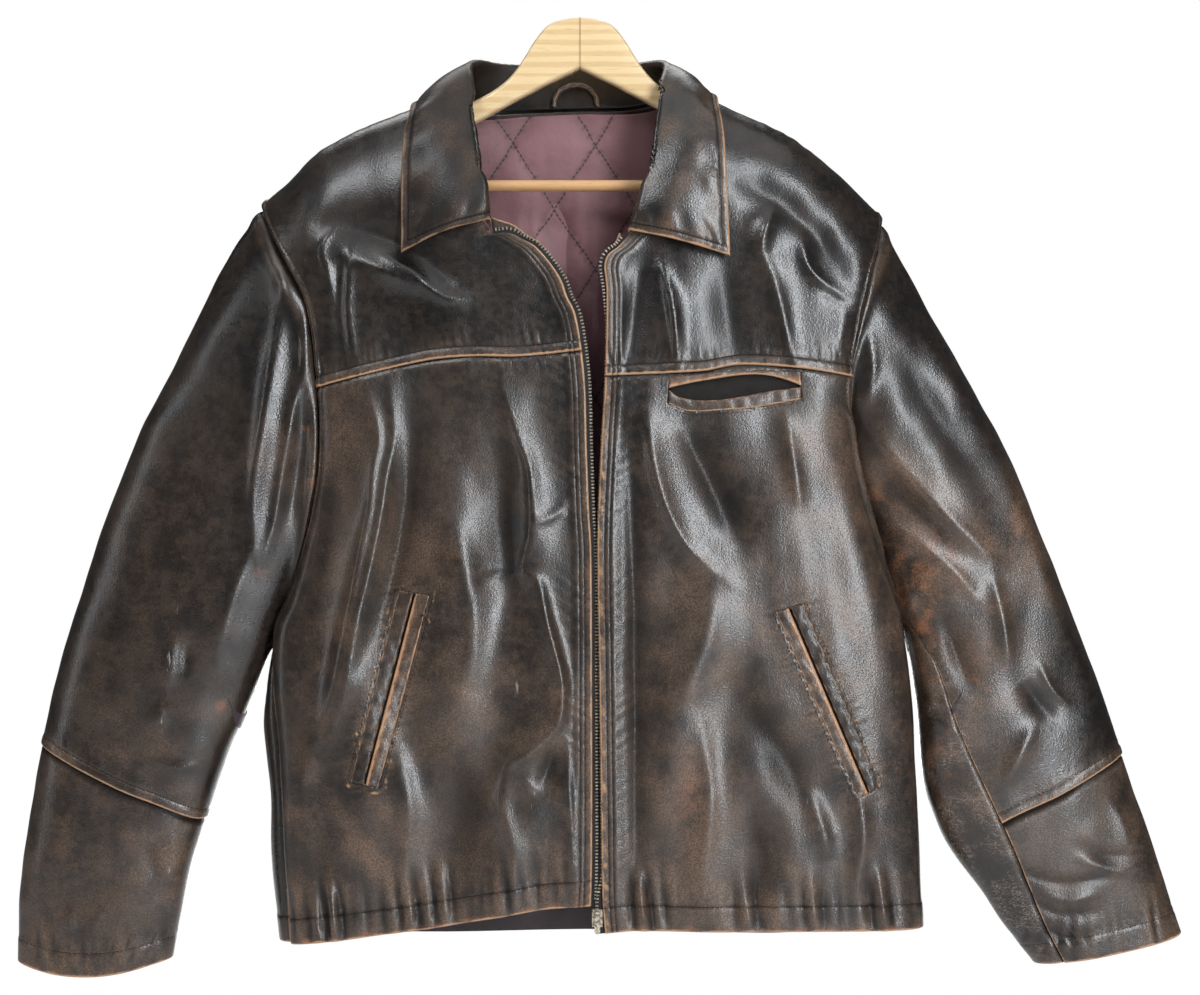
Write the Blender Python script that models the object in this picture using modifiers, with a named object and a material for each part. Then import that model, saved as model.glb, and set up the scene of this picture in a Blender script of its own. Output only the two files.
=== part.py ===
"""A worn leather coat, hanging open on a wooden hanger.

Metres, +Z up, front towards -Y. The origin is the top of the hanger, where its hook screws in.
Right and left are the wearer's, so the right side of the coat is at -X.
Tables and sizes are in millimetres, and MM turns them into metres where a mesh is made.
"""
import math

import bmesh
import bpy
import numpy as np
from mathutils import Matrix

MM = 0.001

# Driving sizes
LEATHER = 1.6            # wall of one cut piece of leather
COLLAR_LEATHER = 3.0     # collar: two layers turned and topstitched
LINING = 2.2             # quilted lining with its wadding
TAPE = 1.2               # zip tape
FACING = 1.2             # leather strip inside the zip edge
SEAM_GAP = 0.8           # clear width between two pieces at a seam
LAYER_GAP = 0.5          # clear depth between two pieces that lie on each other
LINING_GAP = 1.7         # the same behind the back, whose turns are tighter
SHOULDER_GAP = 0.6       # half of the clear width between front and back along the shoulder
SHOULDER_ROUND = 90.0    # how far below the shoulder line the coat reaches its full depth
FRONT_SQUARENESS = 5.0   # how sharply the fronts turn back at the sides
BACK_SQUARENESS = 4.0
BACK_DEPTH = 40.0        # back panel behind the hanger's middle plane
NECK_SEAM_DEPTH = 35.0   # back neck seam behind the same plane

BOARD_THICK = 14.0
BAR_RADIUS = 4.8
BAR_HEIGHT = -141.0
BAR_HALF_LENGTH = 214.0
BAR_HOLE_START = 150.0   # inside of the board's arms, where the holes for the bar open
BAR_CLEAR = 0.4
SOCKET_RADIUS = 2.0
SOCKET_DEPTH = 20.0

# Half of the hanger board's outline: how far out, its top edge, its lower edge
BOARD_OUTLINE = [
    # out, top, low
    (0, 0, -43),
    (14, -2, -50),
    (27, -7, -56),
    (38, -20, -62),
    (46, -33, -66),
    (55, -46, -71),
    (66, -57, -77),
    (86, -69, -88),
    (122, -85, -106),
    (151, -97, -120),
    (185, -114, -137),
    (204, -128, -149),
    (217, -139, -157),
    (225, -152, -161),
]

# Shoulder line from the neck to the tip of the shoulder: across, height
SHOULDER = {
    "right": [(-102, -66), (-151, -81), (-179, -92), (-203, -104), (-223, -116), (-244, -138), (-267, -157)],
    "left": [(82, -57), (134, -80), (159, -92), (181, -104), (198, -116), (224, -138), (253, -168)],
}

# Front neck edge, from the shoulder down to the top of the zip: across, height
NECK = {
    "right": [(-102, -66), (-105, -84), (-103, -110), (-97, -136), (-88, -163), (-71, -187)],
    "left": [(82, -57), (84, -84), (82, -110), (74, -140), (60, -168), (38, -190)],
}
# Back neck seam: across, height
BACK_NECK = [
    (-102, -66), (-94, -72), (-80, -76), (-50, -74), (0, -72), (46, -71), (66, -67), (76, -62), (82, -57),
]

# Front edge along the zip, top to hem: across, height
ZIP_EDGE = {
    "right": [
        (-71, -187), (-57, -186), (-45, -192), (-36, -197), (-25, -209), (-15, -224), (-10, -238),
        (-3, -253), (2, -282), (5, -315), (6, -356), (8, -413), (10, -454), (10.5, -568), (10.5, -691),
        (9.5, -737),
    ],
    "left": [
        (38, -190), (32, -197), (23, -204), (20, -213), (21, -223), (22, -241), (21, -303), (18, -356),
        (15, -424), (15, -482), (16, -535), (18, -690), (19, -737), (21, -759),
    ],
}

# Armhole and side seam, as the front meets them, top to hem: across, height, depth
ARM_AND_SIDE = {
    "right": [
        (-267, -157, 0), (-256, -182, -24), (-240, -212, -34), (-226, -238, -36), (-220, -262, -36),
        (-216, -300, -34), (-214, -347, -28), (-217, -397, -22), (-229, -447, -15), (-243, -489, -8),
        (-253, -511, -4), (-255, -538, -10), (-254, -563, -16), (-249, -604, -22), (-246, -653, -25),
        (-243, -700, -26), (-239, -771, -26),
    ],
    "left": [
        (253, -168, 0), (247, -192, -20), (240, -215, -30), (234, -241, -33), (229, -266, -34),
        (224, -297, -30), (224, -340, -20), (232, -390, -13), (245, -437, -8), (266, -495, -4),
        (271, -531, -4), (276, -573, -5), (279, -623, -6), (282, -690, -7), (285, -758, -8),
    ],
}

# Where the back meets the armholes and sides, top to hem: across, height, depth, and how far the
# panel then swells out past that seam
BACK_EDGE = {
    "right": [
        (-267, -157, 0, 0), (-255, -190, 16, 0), (-243, -230, 24, 0), (-234, -290, 28, 0),
        (-232, -350, 26, 0), (-235, -420, 18, 0), (-253, -511, -2, 0), (-255, -538, -9, 3),
        (-254, -563, -15, 8), (-249, -604, -21, 16), (-246, -653, -24, 13), (-243, -700, -25, 15),
        (-239, -771, -25, 12),
    ],
    "left": [
        (253, -168, 0, 0), (246, -200, 16, 0), (240, -240, 24, 0), (238, -300, 28, 0),
        (240, -360, 26, 0), (245, -425, 18, 0), (266, -495, -2, 0), (271, -531, -3, 0),
        (276, -573, -4, 0), (279, -623, -5, 0), (282, -690, -6, 0), (285, -758, -7, 0),
    ],
}

# Depth of the fronts away from the armholes: height, depth
FRONT_DEPTH = {
    "right": [(-50, -42), (-187, -45), (-240, -46), (-320, -48), (-450, -50), (-600, -49), (-772, -47)],
    "left": [(-50, -42), (-190, -46), (-240, -49), (-320, -52), (-450, -54), (-600, -53), (-772, -50)],
}

# Hem of each panel, from the zip or the right side outwards: across, height
HEM = {
    "right": [(9.5, -737), (-27, -740), (-69, -747), (-100, -752), (-131, -757), (-174, -763), (-239, -771)],
    "left": [(21, -759), (46, -757), (88, -758), (193, -758), (285, -758)],
}
# Hem of the back: share of the way across from right to left, height
BACK_HEM = [(0.0, -771), (0.3, -775), (0.5, -773), (0.75, -776), (1.0, -758)]

# Yoke seam from the zip to the armhole: across, height
YOKE = {
    "right": [(2, -282), (-49, -287), (-89, -287), (-129, -291), (-189, -305), (-216, -312)],
    "left": [(21, -303), (73, -301), (103, -299), (133, -294), (182, -297), (224, -303)],
}

# Shares of the way across a front for its points: the first three carry the tape and the facing, and
# the last ones turn the side
FRONT_COLUMNS = np.array([0, 0.045, 0.115, 0.22, 0.34, 0.46, 0.58, 0.70, 0.80, 0.88, 0.935, 0.97, 1])

# Large folds and swells of the fronts: both ends (across, height), width, how far the cloth stands out
FRONT_FOLDS = [
    # x0, z0, x1, z1, width, raised
    (-187, -205, -128, -232, 26, 5),      # swag under the right collar point
    (-150, -190, -110, -222, 24, -5),     # trough above it
    (-182, -205, -180, -272, 20, 4),
    (-170, -330, -182, -450, 30, 5),      # long folds down the right side
    (-142, -320, -150, -440, 26, -4),
    (-52, -420, -34, -590, 30, 4),        # broad swell beside the right zip edge
    (90, -215, 90, -280, 22, 4),
    (160, -195, 196, -245, 24, 4),
    (62, -370, 104, -450, 30, 4),         # under the chest pocket
    (46, -370, 42, -720, 24, -4),         # trough beside the left zip edge
]

# Sleeves: share of the way down, outer edge, inner edge, and half the thickness of the tube
SLEEVE = {
    "right": [
        # down, outer_x, outer_z, inner_x, inner_z, half_depth
        (0.00, -267, -157, -253, -511, 34),
        (0.08, -293, -192, -259, -524, 36),
        (0.20, -327, -264, -268, -549, 36),
        (0.35, -372, -356, -281, -582, 34),
        (0.50, -410, -458, -296, -618, 32),
        (0.65, -442, -568, -312, -664, 30),
        (0.80, -462, -674, -327, -712, 27),
        (0.90, -470, -738, -336, -752, 25),
        (1.00, -472, -791, -344, -789, 23),
    ],
    "left": [
        (0.00, 253, -168, 266, -495, 34),
        (0.08, 272, -203, 271.5, -510, 36),
        (0.20, 308, -272, 278, -541, 36),
        (0.35, 352, -354, 284, -588, 34),
        (0.50, 393, -450, 289, -640, 32),
        (0.65, 434, -558, 305, -686, 30),
        (0.80, 470, -664, 332, -727, 27),
        (0.90, 488, -716, 355, -760, 25),
        (1.00, 504, -768, 382, -793, 23),
    ],
}
SLEEVE_SQUARENESS = 2.4
SLEEVE_SEAM_GAP = 0.0025         # half of the clear width at the long seams, as a share of the way round
SLEEVE_LENGTH = 500.0            # a typical length down a sleeve, for its gaps
ARMHOLE_GAP = 0.9                # clear width between a sleeve and the panels
TOP_ROWS = 12                    # rows of points down a sleeve to the slanting seam
FOREARM_ROWS = 7                 # rows from there to the cuff
SLEEVE_BLEND = 0.34              # share of the sleeve over which the armhole's shape fades out
CUFF_DROOP = {"right": 11.0, "left": 2.0}

# Places round a sleeve: 0 is its outer edge, 1 its inner edge by way of the front, and 2 is the outer
# edge again by way of the back. Long seams: down, place of the front seam, place of the back seam
SLEEVE_SEAMS = {
    "right": [(0.0, 1.06, 1.60), (1.0, 1.06, 1.60)],
    "left": [(0.0, 1.0, 1.60), (0.2, 0.90, 1.60), (0.4, 0.80, 1.60), (0.7, 0.735, 1.60), (1.0, 0.83, 1.60)],
}
# Slanting seam above each forearm: place round, share of the way down
FOREARM_SEAM = {
    "right": [(-0.40, 0.700), (0.0, 0.707), (0.5, 0.704), (0.8, 0.692), (1.06, 0.665), (1.60, 0.700)],
    "left": [(-0.40, 0.725), (0.0, 0.731), (0.4, 0.723), (0.77, 0.703), (1.60, 0.725)],
}
SLEEVE_FOLDS = [
    # x0, z0, x1, z1, width, raised
    (-272, -300, -288, -432, 22, 5),      # three folds that fan out from the right armpit
    (-250, -300, -262, -400, 16, 4),
    (-240, -360, -262, -455, 18, 4),
    (240, -345, 318, -440, 24, 4),        # and from the left one
    (255, -415, 305, -460, 20, 4),
    (290, -245, 318, -315, 26, 3),
]

# Collar, front end to front end round the back of the neck. The base follows the neck edge:
# which edge, share of it from its zip end; then the top of the stand and the edge of the fall
COLLAR = [
    # edge, share, stand_x, stand_y, stand_z, fall_x, fall_y, fall_z
    ("right", 0.02, -71, -48, -176, -146, -51, -203),
    ("right", 0.24, -73, -47, -150, -146, -50, -172),
    ("right", 0.50, -77, -37, -122, -146, -48, -136),
    ("right", 0.72, -83, -25, -93, -145, -44, -108),
    ("right", 0.92, -87, -12, -57, -142, -27, -86),
    ("back", 0.06, -86, 8, -35, -138, 12, -74),
    ("back", 0.22, -62, 33, -31, -104, 52, -92),
    ("back", 0.50, -10, 41, -30, -10, 55, -98),
    ("back", 0.78, 42, 33, -31, 84, 52, -88),
    ("back", 0.94, 66, 8, -35, 112, 12, -66),
    ("left", 0.92, 65, -12, -57, 116, -27, -80),
    ("left", 0.72, 61, -26, -93, 119, -45, -106),
    ("left", 0.50, 55, -39, -124, 120, -53, -136),
    ("left", 0.24, 47, -49, -156, 122, -56, -172),
    ("left", 0.02, 38, -52, -184, 123, -57, -206),
]
COLLAR_STATIONS = np.concatenate([
    np.linspace(0, 0.26, 5), np.linspace(0.30, 0.42, 7), np.linspace(0.46, 0.54, 3),
    np.linspace(0.58, 0.70, 7), np.linspace(0.74, 1, 5),
])
FOLD_RADIUS = 4.5
COLLAR_SEAM_GAP = 3.0           # from the neck edge to the foot of the stand
COLLAR_CLEAR = 6.8              # outside of the fall above the leather under it
FALL_BELLY = 5.0                # how far the fall bows outward between fold and edge

# Windows cut in the panels for the pockets: corners (across, height), clockwise from the top inside
HAND_POCKET = {
    "right": [(-124, -484), (-165, -638), (-185, -634), (-147, -480)],
    "left": [(162, -497), (228, -647), (244, -639), (182, -491)],
}
CHEST_POCKET_TOP = [(73, -306), (129, -301), (181, -301)]
CHEST_POCKET_LOW = [(73, -325), (90, -331), (117, -330), (142, -328), (181, -321)]
CHEST_FACING = [(73, -304), (181, -299), (73, -335), (181, -331)]   # top edge, then lower edge
WINDOW_CUT = (-75, -20)  # depths between which the windows are cut
UPPER_WELT = 7.0
LOWER_WELT = 6.5
WELT_THICK = 2.0
WELT_SUNK = 0.3          # welts behind the outside of the front
FACING_MARGIN = 8.0
POCKET_CLOTH = 1.0
POCKET_DEPTH = 3.2       # pocket facings behind the outside of the front
SLIT = 1.6

# Zip slider and its pull tab, at the foot of the left tape
SLIDER = {"x": 14.6, "top": -739.5, "low": -753.5, "width": 8.6, "plate": 1.1, "slot": 2.2}
PIVOT_HEIGHT = -742.5
PIVOT_RADIUS = 0.8
TAB = {"length": 16.5, "width": 4.6, "thick": 1.3, "barrel": 1.9, "clear": 0.35}

# Hanging loop at the back neck seam
LOOP = [(-23, -69), (-20, -58), (-10, -51), (3, -51), (12, -58), (15, -69)]
LOOP_RADIUS = 2.2

# Surface colours, roughness and metallic value
FINISH = {
    "leather": ((0.050, 0.036, 0.028), 0.42, 0.0),
    "worn_leather": ((0.085, 0.050, 0.032), 0.48, 0.0),
    "lining": ((0.225, 0.115, 0.135), 0.80, 0.0),
    "tape": ((0.015, 0.013, 0.012), 0.85, 0.0),
    "zip_metal": ((0.62, 0.60, 0.55), 0.30, 1.0),
    "board_wood": ((0.80, 0.62, 0.38), 0.45, 0.0),
    "bar_wood": ((0.72, 0.44, 0.20), 0.45, 0.0),
}


# ---------------------------------------------------------------- curves and surfaces

def smooth_through(table, key, at):
    """A smooth, non-overshooting curve through a table's rows, ordered by column key."""
    rows = np.array(sorted(table, key=lambda row: row[key]), float)
    x = rows[:, key]
    slopes = np.diff(rows, axis=0) / np.diff(x)[:, None]
    tangent = np.vstack([slopes[:1], 0.5 * (slopes[1:] + slopes[:-1]), slopes[-1:]])
    tangent[1:-1][slopes[1:] * slopes[:-1] <= 0] = 0
    at = np.clip(np.asarray(at, float), x[0], x[-1])
    i = np.clip(np.searchsorted(x, at) - 1, 0, len(x) - 2)
    width = (x[i + 1] - x[i])[..., None]
    t = ((at - x[i]) / (x[i + 1] - x[i]))[..., None]
    return (
        (1 + 2 * t) * (1 - t) ** 2 * rows[i] + t * (1 - t) ** 2 * width * tangent[i]
        + t * t * (3 - 2 * t) * rows[i + 1] - t * t * (1 - t) * width * tangent[i + 1]
    )


def along(points, shares):
    """Points at these shares of the length of a smooth curve through the given points."""
    points = np.array(points, float)
    before = np.vstack([2 * points[0] - points[1], points[:-1]])
    after = np.vstack([points[1:], 2 * points[-1] - points[-2]])
    fine = []
    for i in range(len(points) - 1):
        t = np.linspace(0, 1, 12, endpoint=False)[:, None]
        a, b, c, d = before[i], points[i], points[i + 1], after[i + 1]
        fine.append(0.5 * (2 * b + (c - a) * t + (2 * a - 5 * b + 4 * c - d) * t ** 2
                           + (3 * b - a - 3 * c + d) * t ** 3))
    fine = np.vstack(fine + [points[-1:]])
    length = np.concatenate([[0], np.cumsum(np.linalg.norm(np.diff(fine, axis=0), axis=1))])
    shares = np.asarray(shares, float) * length[-1]
    return np.stack([np.interp(shares, length, fine[:, k]) for k in range(fine.shape[1])], -1)


def bump(x, z, folds):
    """How far large folds raise the cloth at (across, height): ridges with tapered ends."""
    raised = np.zeros_like(x)
    for x0, z0, x1, z1, width, height in folds:
        dx, dz = x1 - x0, z1 - z0
        long = math.hypot(dx, dz)
        t = ((x - x0) * dx + (z - z0) * dz) / long ** 2
        aside = ((x - x0) * dz - (z - z0) * dx) / long
        beyond = np.maximum(np.abs(t - 0.5) - 0.5, 0) * long
        raised += height * np.exp(-(aside / width) ** 2 * 2 - (beyond / width) ** 2 * 2)
    return raised


def shoulder_round(below):
    """Share of its full depth that the coat has this far below the shoulder line."""
    part = np.clip(below / SHOULDER_ROUND, 0, 1)
    return np.sqrt(1 - (1 - part) ** 2)


def front_depth(side, x, z):
    """Depth of the outside of a front at (across, height)."""
    x, z = np.asarray(x, float), np.asarray(z, float)
    edge = smooth_through([row[::-1] for row in NECK[side] + ZIP_EDGE[side][5:]], 0, z)[..., 1]
    outer = smooth_through(ARM_AND_SIDE[side], 1, z)
    full = smooth_through(FRONT_DEPTH[side], 0, z)[..., 1]
    across = np.clip((x - edge) / (outer[..., 0] - edge), 0, 1)
    turn_back = (1 - across ** FRONT_SQUARENESS) ** (1 / FRONT_SQUARENESS)
    depth = outer[..., 2] + (full - outer[..., 2]) * turn_back
    top = smooth_through(SHOULDER[side], 0, x)[..., 1]
    depth = depth * shoulder_round(top - z) - SHOULDER_GAP * (1 - shoulder_round(top - z))
    return depth - bump(x, z, FRONT_FOLDS) * np.clip(1.6 - 1.6 * across ** 4, 0, 1)


def back_section(z, shares, count=90):
    """Points of the back panel at one height, at shares of the way from right to left."""
    ends = []
    for side, sign in (("right", -1), ("left", 1)):
        seam_x, _, seam_y, swell = smooth_through(BACK_EDGE[side], 1, z)
        swell_y = min(seam_y + swell * 1.3, 6.0) if swell > 0 else seam_y
        ends.append((seam_x, seam_y, seam_x + sign * swell, swell_y))
    (rx, ry, rsx, rsy), (lx, ly, lsx, lsy) = ends
    middle = (rsx + lsx) / 2
    turn = np.linspace(0, math.pi / 2, count)
    path = [np.stack([rx + (rsx - rx) * np.sin(turn), rsy + (ry - rsy) * np.cos(turn)], 1)]
    power = 2 / BACK_SQUARENESS
    for edge_x, edge_y, angle in ((rsx, rsy, turn), (lsx, lsy, turn[::-1])):
        path.append(np.stack([
            middle + (edge_x - middle) * np.cos(angle) ** power,
            edge_y + (BACK_DEPTH - edge_y) * np.sin(angle) ** power,
        ], 1))
    path.append(np.stack([lx + (lsx - lx) * np.cos(turn), lsy + (ly - lsy) * np.sin(turn)], 1))
    path = np.vstack(path)
    length = np.concatenate([[0], np.cumsum(np.linalg.norm(np.diff(path, axis=0), axis=1))])
    return np.stack([np.interp(np.asarray(shares) * length[-1], length, path[:, k]) for k in (0, 1)], -1)


def back_top(shares):
    """Height and depth of the top edge of the back: shoulder, neck seam, shoulder."""
    x = back_section(SHOULDER["right"][0][1], shares)[:, 0]
    right, left = SHOULDER["right"][0][0], SHOULDER["left"][0][0]
    inside = np.clip(np.minimum(x - right, left - x) / ((left - right) / 2), 0, 1)
    depth = NECK_SEAM_DEPTH * (1 - (1 - inside) ** 2.6) ** (1 / 2.6)
    height = np.where(x < right, smooth_through(SHOULDER["right"], 0, x)[..., 1],
                      np.where(x > left, smooth_through(SHOULDER["left"], 0, x)[..., 1],
                               smooth_through(BACK_NECK, 0, x)[..., 1]))
    return height, depth


def neck_shares():
    """Shares of the way across the back at which the neck seam starts and ends."""
    shares = np.linspace(0, 1, 400)
    x = back_section(SHOULDER["right"][0][1], shares)[:, 0]
    return [float(np.interp(SHOULDER[side][0][0], x, shares)) for side in ("right", "left")]


def back_points(shares, rise):
    """Grid of the back panel: shares of the way across, rise from hem to top."""
    shares = np.asarray(shares, float)
    top, top_depth = back_top(shares)
    hem = smooth_through(BACK_HEM, 0, shares)[..., 1]
    grid = np.empty((len(rise), len(shares), 3))
    for j, share in enumerate(shares):
        for i, up in enumerate(rise):
            z = hem[j] + (top[j] - hem[j]) * up
            x, y = back_section(z, share)
            start = max(top_depth[j], SHOULDER_GAP)
            y = start + (y - start) * shoulder_round(top[j] - z)
            grid[i, j] = x, y, z
    return grid


def patch(low, high, inner, outer, across, up):
    """Grid between four edges: low and high run from inner to outer at the shares across."""
    low, high, inner, outer = (np.asarray(edge, float) for edge in (low, high, inner, outer))
    u, v = across[None, :, None], up[:, None, None]
    return (
        (1 - v) * low[None] + v * high[None] + (1 - u) * inner[:, None] + u * outer[:, None]
        - (1 - u) * (1 - v) * low[0] - u * (1 - v) * low[-1] - (1 - u) * v * high[0] - u * v * high[-1]
    )


def normals_of(grid):
    """Unit normals of a grid, from its rows and columns."""
    down, across = np.gradient(grid, axis=0), np.gradient(grid, axis=1)
    normal = np.cross(across, down)
    return normal / np.maximum(np.linalg.norm(normal, axis=2, keepdims=True), 1e-9)


def moved_out(grid, outside, distance):
    """The grid moved along its normals, away from the coat's inside when distance is above zero."""
    normal = normals_of(grid)
    facing = np.sign(np.sum(normal * outside, axis=2).mean())
    return grid + normal * facing * distance


# ---------------------------------------------------------------- objects

coat = bpy.data.collections.new("worn_leather_coat")
cutters = bpy.data.collections.new("cutters")


def finish(name):
    """The material with this finish, made once for each piece that asks."""
    colour, roughness, metallic = FINISH[name]
    material = bpy.data.materials.new(name)
    material.use_nodes = True
    shader = material.node_tree.nodes["Principled BSDF"]
    shader.inputs["Base Color"].default_value = (*colour, 1)
    shader.inputs["Roughness"].default_value = roughness
    shader.inputs["Metallic"].default_value = metallic
    return material


def add_object(name, mesh, look, collection=None):
    obj = bpy.data.objects.new(name, mesh)
    (collection or coat).objects.link(obj)
    if look:
        mesh.materials.append(finish(look))
        mesh.shade_smooth()
    return obj


def sheet(name, grid, thickness, outside, look, ring=False):
    """A wall of cloth: the grid is its outer face, and the thickness goes inward."""
    rows, columns = grid.shape[:2]
    faces = []
    for i in range(rows - 1):
        for j in range(columns if ring else columns - 1):
            k = (j + 1) % columns
            faces.append((i * columns + j, i * columns + k, (i + 1) * columns + k, (i + 1) * columns + j))
    if np.sum(normals_of(grid) * outside, axis=2).mean() < 0:
        faces = [face[::-1] for face in faces]
    mesh = bpy.data.meshes.new(name)
    mesh.from_pydata((grid.reshape(-1, 3) * MM).tolist(), [], faces)
    obj = add_object(name, mesh, look)
    wall = obj.modifiers.new("Wall", "SOLIDIFY")
    wall.thickness = thickness * MM
    wall.offset = -1
    return obj


def prism(name, outline, y_from, y_to, look=None):
    """A closed prism through the coat's depth from an outline of (across, height) points."""
    mesh = bpy.data.meshes.new(name)
    form = bmesh.new()
    base = form.faces.new([form.verts.new((x * MM, y_from * MM, z * MM)) for x, z in outline])
    raised = bmesh.ops.extrude_face_region(form, geom=[base])
    corners = [item for item in raised["geom"] if isinstance(item, bmesh.types.BMVert)]
    bmesh.ops.translate(form, verts=corners, vec=(0, (y_to - y_from) * MM, 0))
    bmesh.ops.recalc_face_normals(form, faces=form.faces)
    form.to_mesh(mesh)
    form.free()
    return add_object(name, mesh, look, None if look else cutters)


def cut(obj, cutter, operation="DIFFERENCE"):
    cutter.hide_render = True
    cutter.display_type = "WIRE"
    boolean = obj.modifiers.new("Cut", "BOOLEAN")
    boolean.operation = operation
    boolean.object = cutter


def cylinder_x(name, radius, x_from, x_to, y, z, sides=16, look=None):
    """A round bar along X."""
    mesh = bpy.data.meshes.new(name)
    form = bmesh.new()
    bmesh.ops.create_cone(form, cap_ends=True, segments=sides, radius1=radius * MM, radius2=radius * MM,
                          depth=(x_to - x_from) * MM)
    bmesh.ops.rotate(form, verts=form.verts, matrix=Matrix.Rotation(math.pi / 2, 3, "Y"))
    form.to_mesh(mesh)
    form.free()
    obj = add_object(name, mesh, look, None if look else cutters)
    obj.location = ((x_from + x_to) / 2 * MM, y * MM, z * MM)
    return obj


# ---------------------------------------------------------------- fronts

FRONTWARD = np.array([0, -1, 0])
BACKWARD = np.array([0, 1, 0])


def stretch(points, start, end, shares):
    """Points at shares of the stretch of a smooth curve between its points nearest start and end."""
    fine = along(points, np.linspace(0, 1, 600))
    first = int(np.argmin(np.linalg.norm(fine - start, axis=1)))
    last = int(np.argmin(np.linalg.norm(fine - end, axis=1)))
    part = fine[first:last + 1] if first < last else fine[last:first + 1][::-1]
    part[0], part[-1] = start, end
    length = np.concatenate([[0], np.cumsum(np.linalg.norm(np.diff(part, axis=0), axis=1))])
    shares = np.asarray(shares, float) * length[-1]
    return np.stack([np.interp(shares, length, part[:, k]) for k in (0, 1)], -1)


def on_front(side, flat, deeper=0.0):
    """Points on a front's outer face from (across, height) points, or that much deeper."""
    flat = np.asarray(flat, float)
    depth = front_depth(side, flat[..., 0], flat[..., 1]) + deeper
    return np.stack([flat[..., 0], depth, flat[..., 1]], -1)


def build_front(side):
    """Makes a lower front and its yoke, and returns the lower front and the grids of both."""
    sides = np.array(ARM_AND_SIDE[side], float)[:, :2]
    seam = np.array(YOKE[side], float)
    down = np.array([0, SEAM_GAP / 2])
    columns = FRONT_COLUMNS

    rows = np.linspace(0, 1, 16)
    low = along(HEM[side], columns)
    high = along(seam - down, columns)
    inner = stretch(ZIP_EDGE[side][::-1], low[0], high[0], rows)
    outer = stretch(sides[::-1], low[-1], high[-1], rows)
    lower_grid = on_front(side, patch(low, high, inner, outer, columns, rows))
    lower = sheet(f"front_{side}_lower", lower_grid, LEATHER, FRONTWARD, "worn_leather")

    below_corner, above_corner = np.linspace(0, 1, 5), np.array([0, 0.3, 0.57, 0.78, 0.91, 0.975, 1])
    rows = np.concatenate([below_corner / 2, 0.5 + above_corner[1:] / 2])
    low = along(seam + down, columns)
    high = along(SHOULDER[side], columns)
    corner, neck_point = np.array(NECK[side][-1], float), np.array(NECK[side][0], float)
    inner = np.vstack([
        stretch(ZIP_EDGE[side][::-1], low[0], corner, below_corner),
        stretch(NECK[side][::-1], corner, neck_point, above_corner)[1:],
    ])
    outer = stretch(sides[::-1], low[-1], high[-1], rows)
    yoke_grid = on_front(side, patch(low, high, inner, outer, columns, rows))
    sheet(f"front_{side}_yoke", yoke_grid, LEATHER, FRONTWARD, "leather")
    return lower, np.vstack([lower_grid, yoke_grid[:5]])


# How far the tapes and facings reach past the zip edges: share of the edge from the hem, reach
TAPE_REACH = {
    "right": [(0.0, 4.0), (1.0, 4.0)],
    "left": [(0.0, 5.0), (0.04, 5.0), (0.09, -0.5), (0.85, -0.5), (0.93, 3.0), (1.0, 3.5)],
}
FACING_REACH = {
    "right": [(0.0, 2.0), (0.8, 2.0), (0.93, 5.0), (0.97, 12.0), (1.0, 30.0)],
    "left": [(0.0, -1.5), (0.8, -1.5), (0.93, 2.0), (0.97, 6.0), (1.0, 16.0)],
}


def strip_behind(name, grid, columns, reach, deeper, thickness, look):
    """A strip behind the first columns of a front, carried past its zip edge by reach."""
    edge = grid[:, 0]
    length = np.concatenate([[0], np.cumsum(np.linalg.norm(np.diff(edge, axis=0), axis=1))])
    past = smooth_through(reach, 0, length / length[-1])[..., 1:]
    run = np.gradient(edge, axis=0)
    run /= np.linalg.norm(run, axis=1, keepdims=True)
    outward = np.cross(run, FRONTWARD)
    outward *= np.sign(np.sum(outward * (grid[:, 0] - grid[:, 1])))
    strip = np.stack([edge + outward * past] + [grid[:, k] for k in range(1, columns)], 1)
    strip[..., 1] += deeper
    return sheet(name, strip, thickness, FRONTWARD, look)


def build_zip(side, grid):
    tape_depth = LEATHER + LAYER_GAP
    strip_behind(f"zip_tape_{side}", grid, 2, TAPE_REACH[side], tape_depth, TAPE, "tape")
    strip_behind(f"facing_{side}", grid, 3, FACING_REACH[side], tape_depth + TAPE + 2 * LAYER_GAP,
                 FACING, "leather")


def between(first, second, share):
    return np.asarray(first, float) + (np.asarray(second, float) - first) * share


def build_hand_pocket(side, front):
    top_in, low_in, low_out, top_out = (np.array(corner, float) for corner in HAND_POCKET[side])
    window = [top_in, low_in, low_out, top_out]
    cut(front, prism(f"hand_window_{side}", window, *WINDOW_CUT))
    long = np.linspace(0, 1, 7)[:, None]
    width = np.linalg.norm(top_out - top_in)
    length = np.linalg.norm(low_in - top_in)
    edge, end, half_slit = SEAM_GAP / width, SEAM_GAP / length, SLIT / 2 / width
    inset = end + (1 - 2 * end) * long
    inner, outer = between(top_in, low_in, inset), between(top_out, low_out, inset)
    for name, start, stop in (("front", edge, 0.5 - half_slit), ("side", 0.5 + half_slit, 1 - edge)):
        flat = np.stack([between(inner, outer, start), between(inner, outer, stop)], 1)
        sheet(f"hand_pocket_{side}_{name}_welt", on_front(side, flat, WELT_SUNK), WELT_THICK, FRONTWARD,
              "leather")
    wide, tall = FACING_MARGIN / width, FACING_MARGIN / length
    longer = -tall + (1 + 2 * tall) * long
    inner, outer = between(top_in, low_in, longer), between(top_out, low_out, longer)
    flat = np.stack([between(inner, outer, share) for share in (-wide, 0.5, 1 + wide)], 1)
    sheet(f"hand_pocket_{side}_facing", on_front(side, flat, POCKET_DEPTH), POCKET_CLOTH, FRONTWARD, "tape")


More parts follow.
